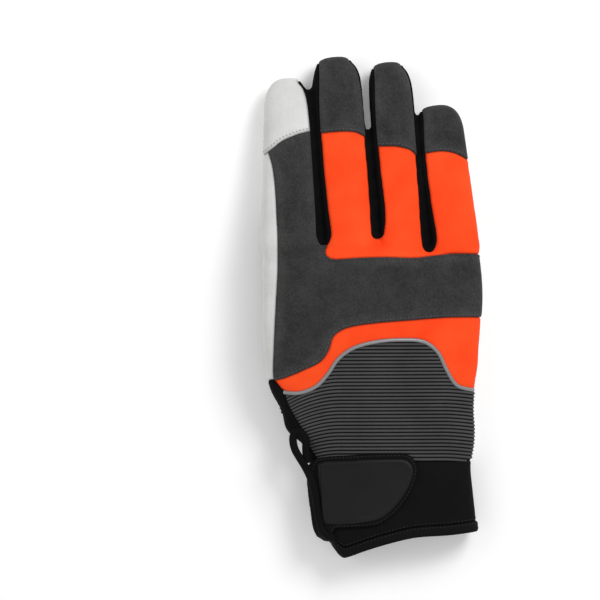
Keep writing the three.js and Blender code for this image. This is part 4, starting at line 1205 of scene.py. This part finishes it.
# across and along the palm, height in mm
loop_rows = [
    (-0.2918, -0.0093, 25.4), (-0.3009, 0.0374, 26.4), (-0.3031, 0.0935, 26.8), (-0.3189, 0.1285, 27.2),
    (-0.3415, 0.1379, 27.2), (-0.3573, 0.1215, 27.0), (-0.3596, 0.0888, 26.8), (-0.3506, 0.0514, 26.6),
    (-0.3302, 0.014, 26.4), (-0.3054, -0.028, 26.2), (-0.2851, -0.0701, 26.0), (-0.2693, -0.1122, 25.8),
    (-0.258, -0.1636, 25.6), (-0.2512, -0.2196, 25.2), (-0.2421, -0.271, 25.0), (-0.2309, -0.3178, 25.0),
    (-0.2105, -0.3458, 25.4), (-0.1744, -0.3598, 26.0)]
loop_points = np.array(loop_rows) * (palm_width, palm_length, 1)
run = np.concatenate([[0], np.cumsum(np.linalg.norm(np.diff(loop_points[:, :2], axis=0), axis=1))])
loop_line = smooth_read(np.column_stack([run, loop_points]), np.linspace(0, run[-1], loop_steps))
corded("loop_binding", *chained([loop_line]), loop_width, loop_height, binding, "binding_black", "pull_loop")

# Stitching: each row is a line of short lockstitches in polyester thread, pulled into the panel
# beside a seam. The thread is black or dark grey on the dark pieces and pale grey on the leather.
stitch_pitch, wide_pitch, stitch_length = 1.9, 2.1, 1.3
hem_inset, cuff_inset = 0.9, 1.2
hem_from, hem_to, hem_step = -0.24, 0.66, 2.0


def stitch_shape(tree, start, curve):
    """Short stitches along the curve."""
    ball = node(tree, "GeometryNodeMeshUVSphere", {"Segments": 6, "Rings": 5, "Radius": 0.5}).outputs[0]
    lengths = {"X": start["Length"], "Y": start["Width"], "Z": start["Width"]}
    size = node(tree, "ShaderNodeCombineXYZ", lengths).outputs[0]
    long = node(tree, "GeometryNodeTransform", {"Geometry": ball, "Scale": size}).outputs[0]
    way = node(tree, "GeometryNodeInputTangent").outputs[0]
    turn = node(tree, "FunctionNodeAlignRotationToVector", {"Vector": way}, axis="X").outputs[0]
    laid = {"Points": curve, "Instance": long, "Rotation": turn}
    return node(tree, "GeometryNodeInstanceOnPoints", laid).outputs[0]


stitch_row = geometry_tree("stitch_row", ["Pitch", "Length", "Width"], stitch_shape)


def beside(line, offset):
    """A line of the plan moved sideways, to its left where the offset is above 0."""
    way = np.gradient(line, axis=0)
    way /= np.maximum(np.linalg.norm(way, axis=1), 1e-9)[:, None]
    return line + np.column_stack([-way[:, 1], way[:, 0]]) * offset


grey_thread = new_look("grey_thread", (0.075, 0.075, 0.077), 0.7)[0]
dark_thread = new_look("dark_thread", (0.009, 0.009, 0.0095), 0.8)[0]
shade_thread = new_look("shade_thread", (0.25, 0.25, 0.245), 0.7)[0]


def stitched(name, line, part, finish, slot, pitch=stitch_pitch, lift=0.05, from_below=False):
    runs = draped(line, tree_of(*outer_skins[part]), lift, from_below)
    if runs:
        sizes = {"Pitch": pitch / 1000, "Length": stitch_length / 1000, "Width": thread_width / 1000}
        grown(name, *chained(runs), stitch_row, sizes, finish, slot)


hem_x = np.arange(hem_from * cuff_width, hem_to * cuff_width, hem_step)
for name, offset, part in (("hem", hem_height - hem_inset, "cuff_hem"),
                           ("cuff", hem_height + cuff_inset, "wrist_cuff")):
    row = np.column_stack([hem_x, hem_line(hem_x, offset)])
    stitched(name + "_stitches", row, part, dark_thread, "binding_black")
    stitched(name + "_stitches_below", row, part, dark_thread, "binding_black", from_below=True)
stitched("strap_stitches", beside(tab_outline, -1.0), "strap_tab", dark_thread, "strap_rubber", lift=0.0)
stitched("knuckle_stitches", beside(knuckle_seam, -0.9), "knuckle_guard", dark_thread, "suede_grey",
         pitch=wide_pitch)
stitched("guard_stitches", beside(guard_seam, -1.1), "knuckle_guard", grey_thread, "suede_grey")
for name in ("middle", "ring", "little"):
    stitched(name + "_cap_stitches", beside(cap_seams[name], 1.3), name + "_tip_cap", grey_thread,
             "suede_grey")
for k, row in enumerate(quilt_rows):
    for side in (-1, 1):
        stitched("quilting_%d_%s" % (k + 1, "low" if side < 0 else "high"), beside(row, side), "palm_radial",
                 shade_thread, "leather_white", from_below=True)
stitched("thumb_seam_stitches", beside(thumb_seam, 1.5), "palm_radial", shade_thread, "leather_white",
         from_below=True)
stitched("palm_seam_stitches", beside(palm_seam, -1.5), "palm_radial", shade_thread, "leather_white",
         from_below=True)
stitched("index_cap_stitches", beside(cap_seams["index"], 1.6), "index_tip_cap", shade_thread,
         "leather_white")
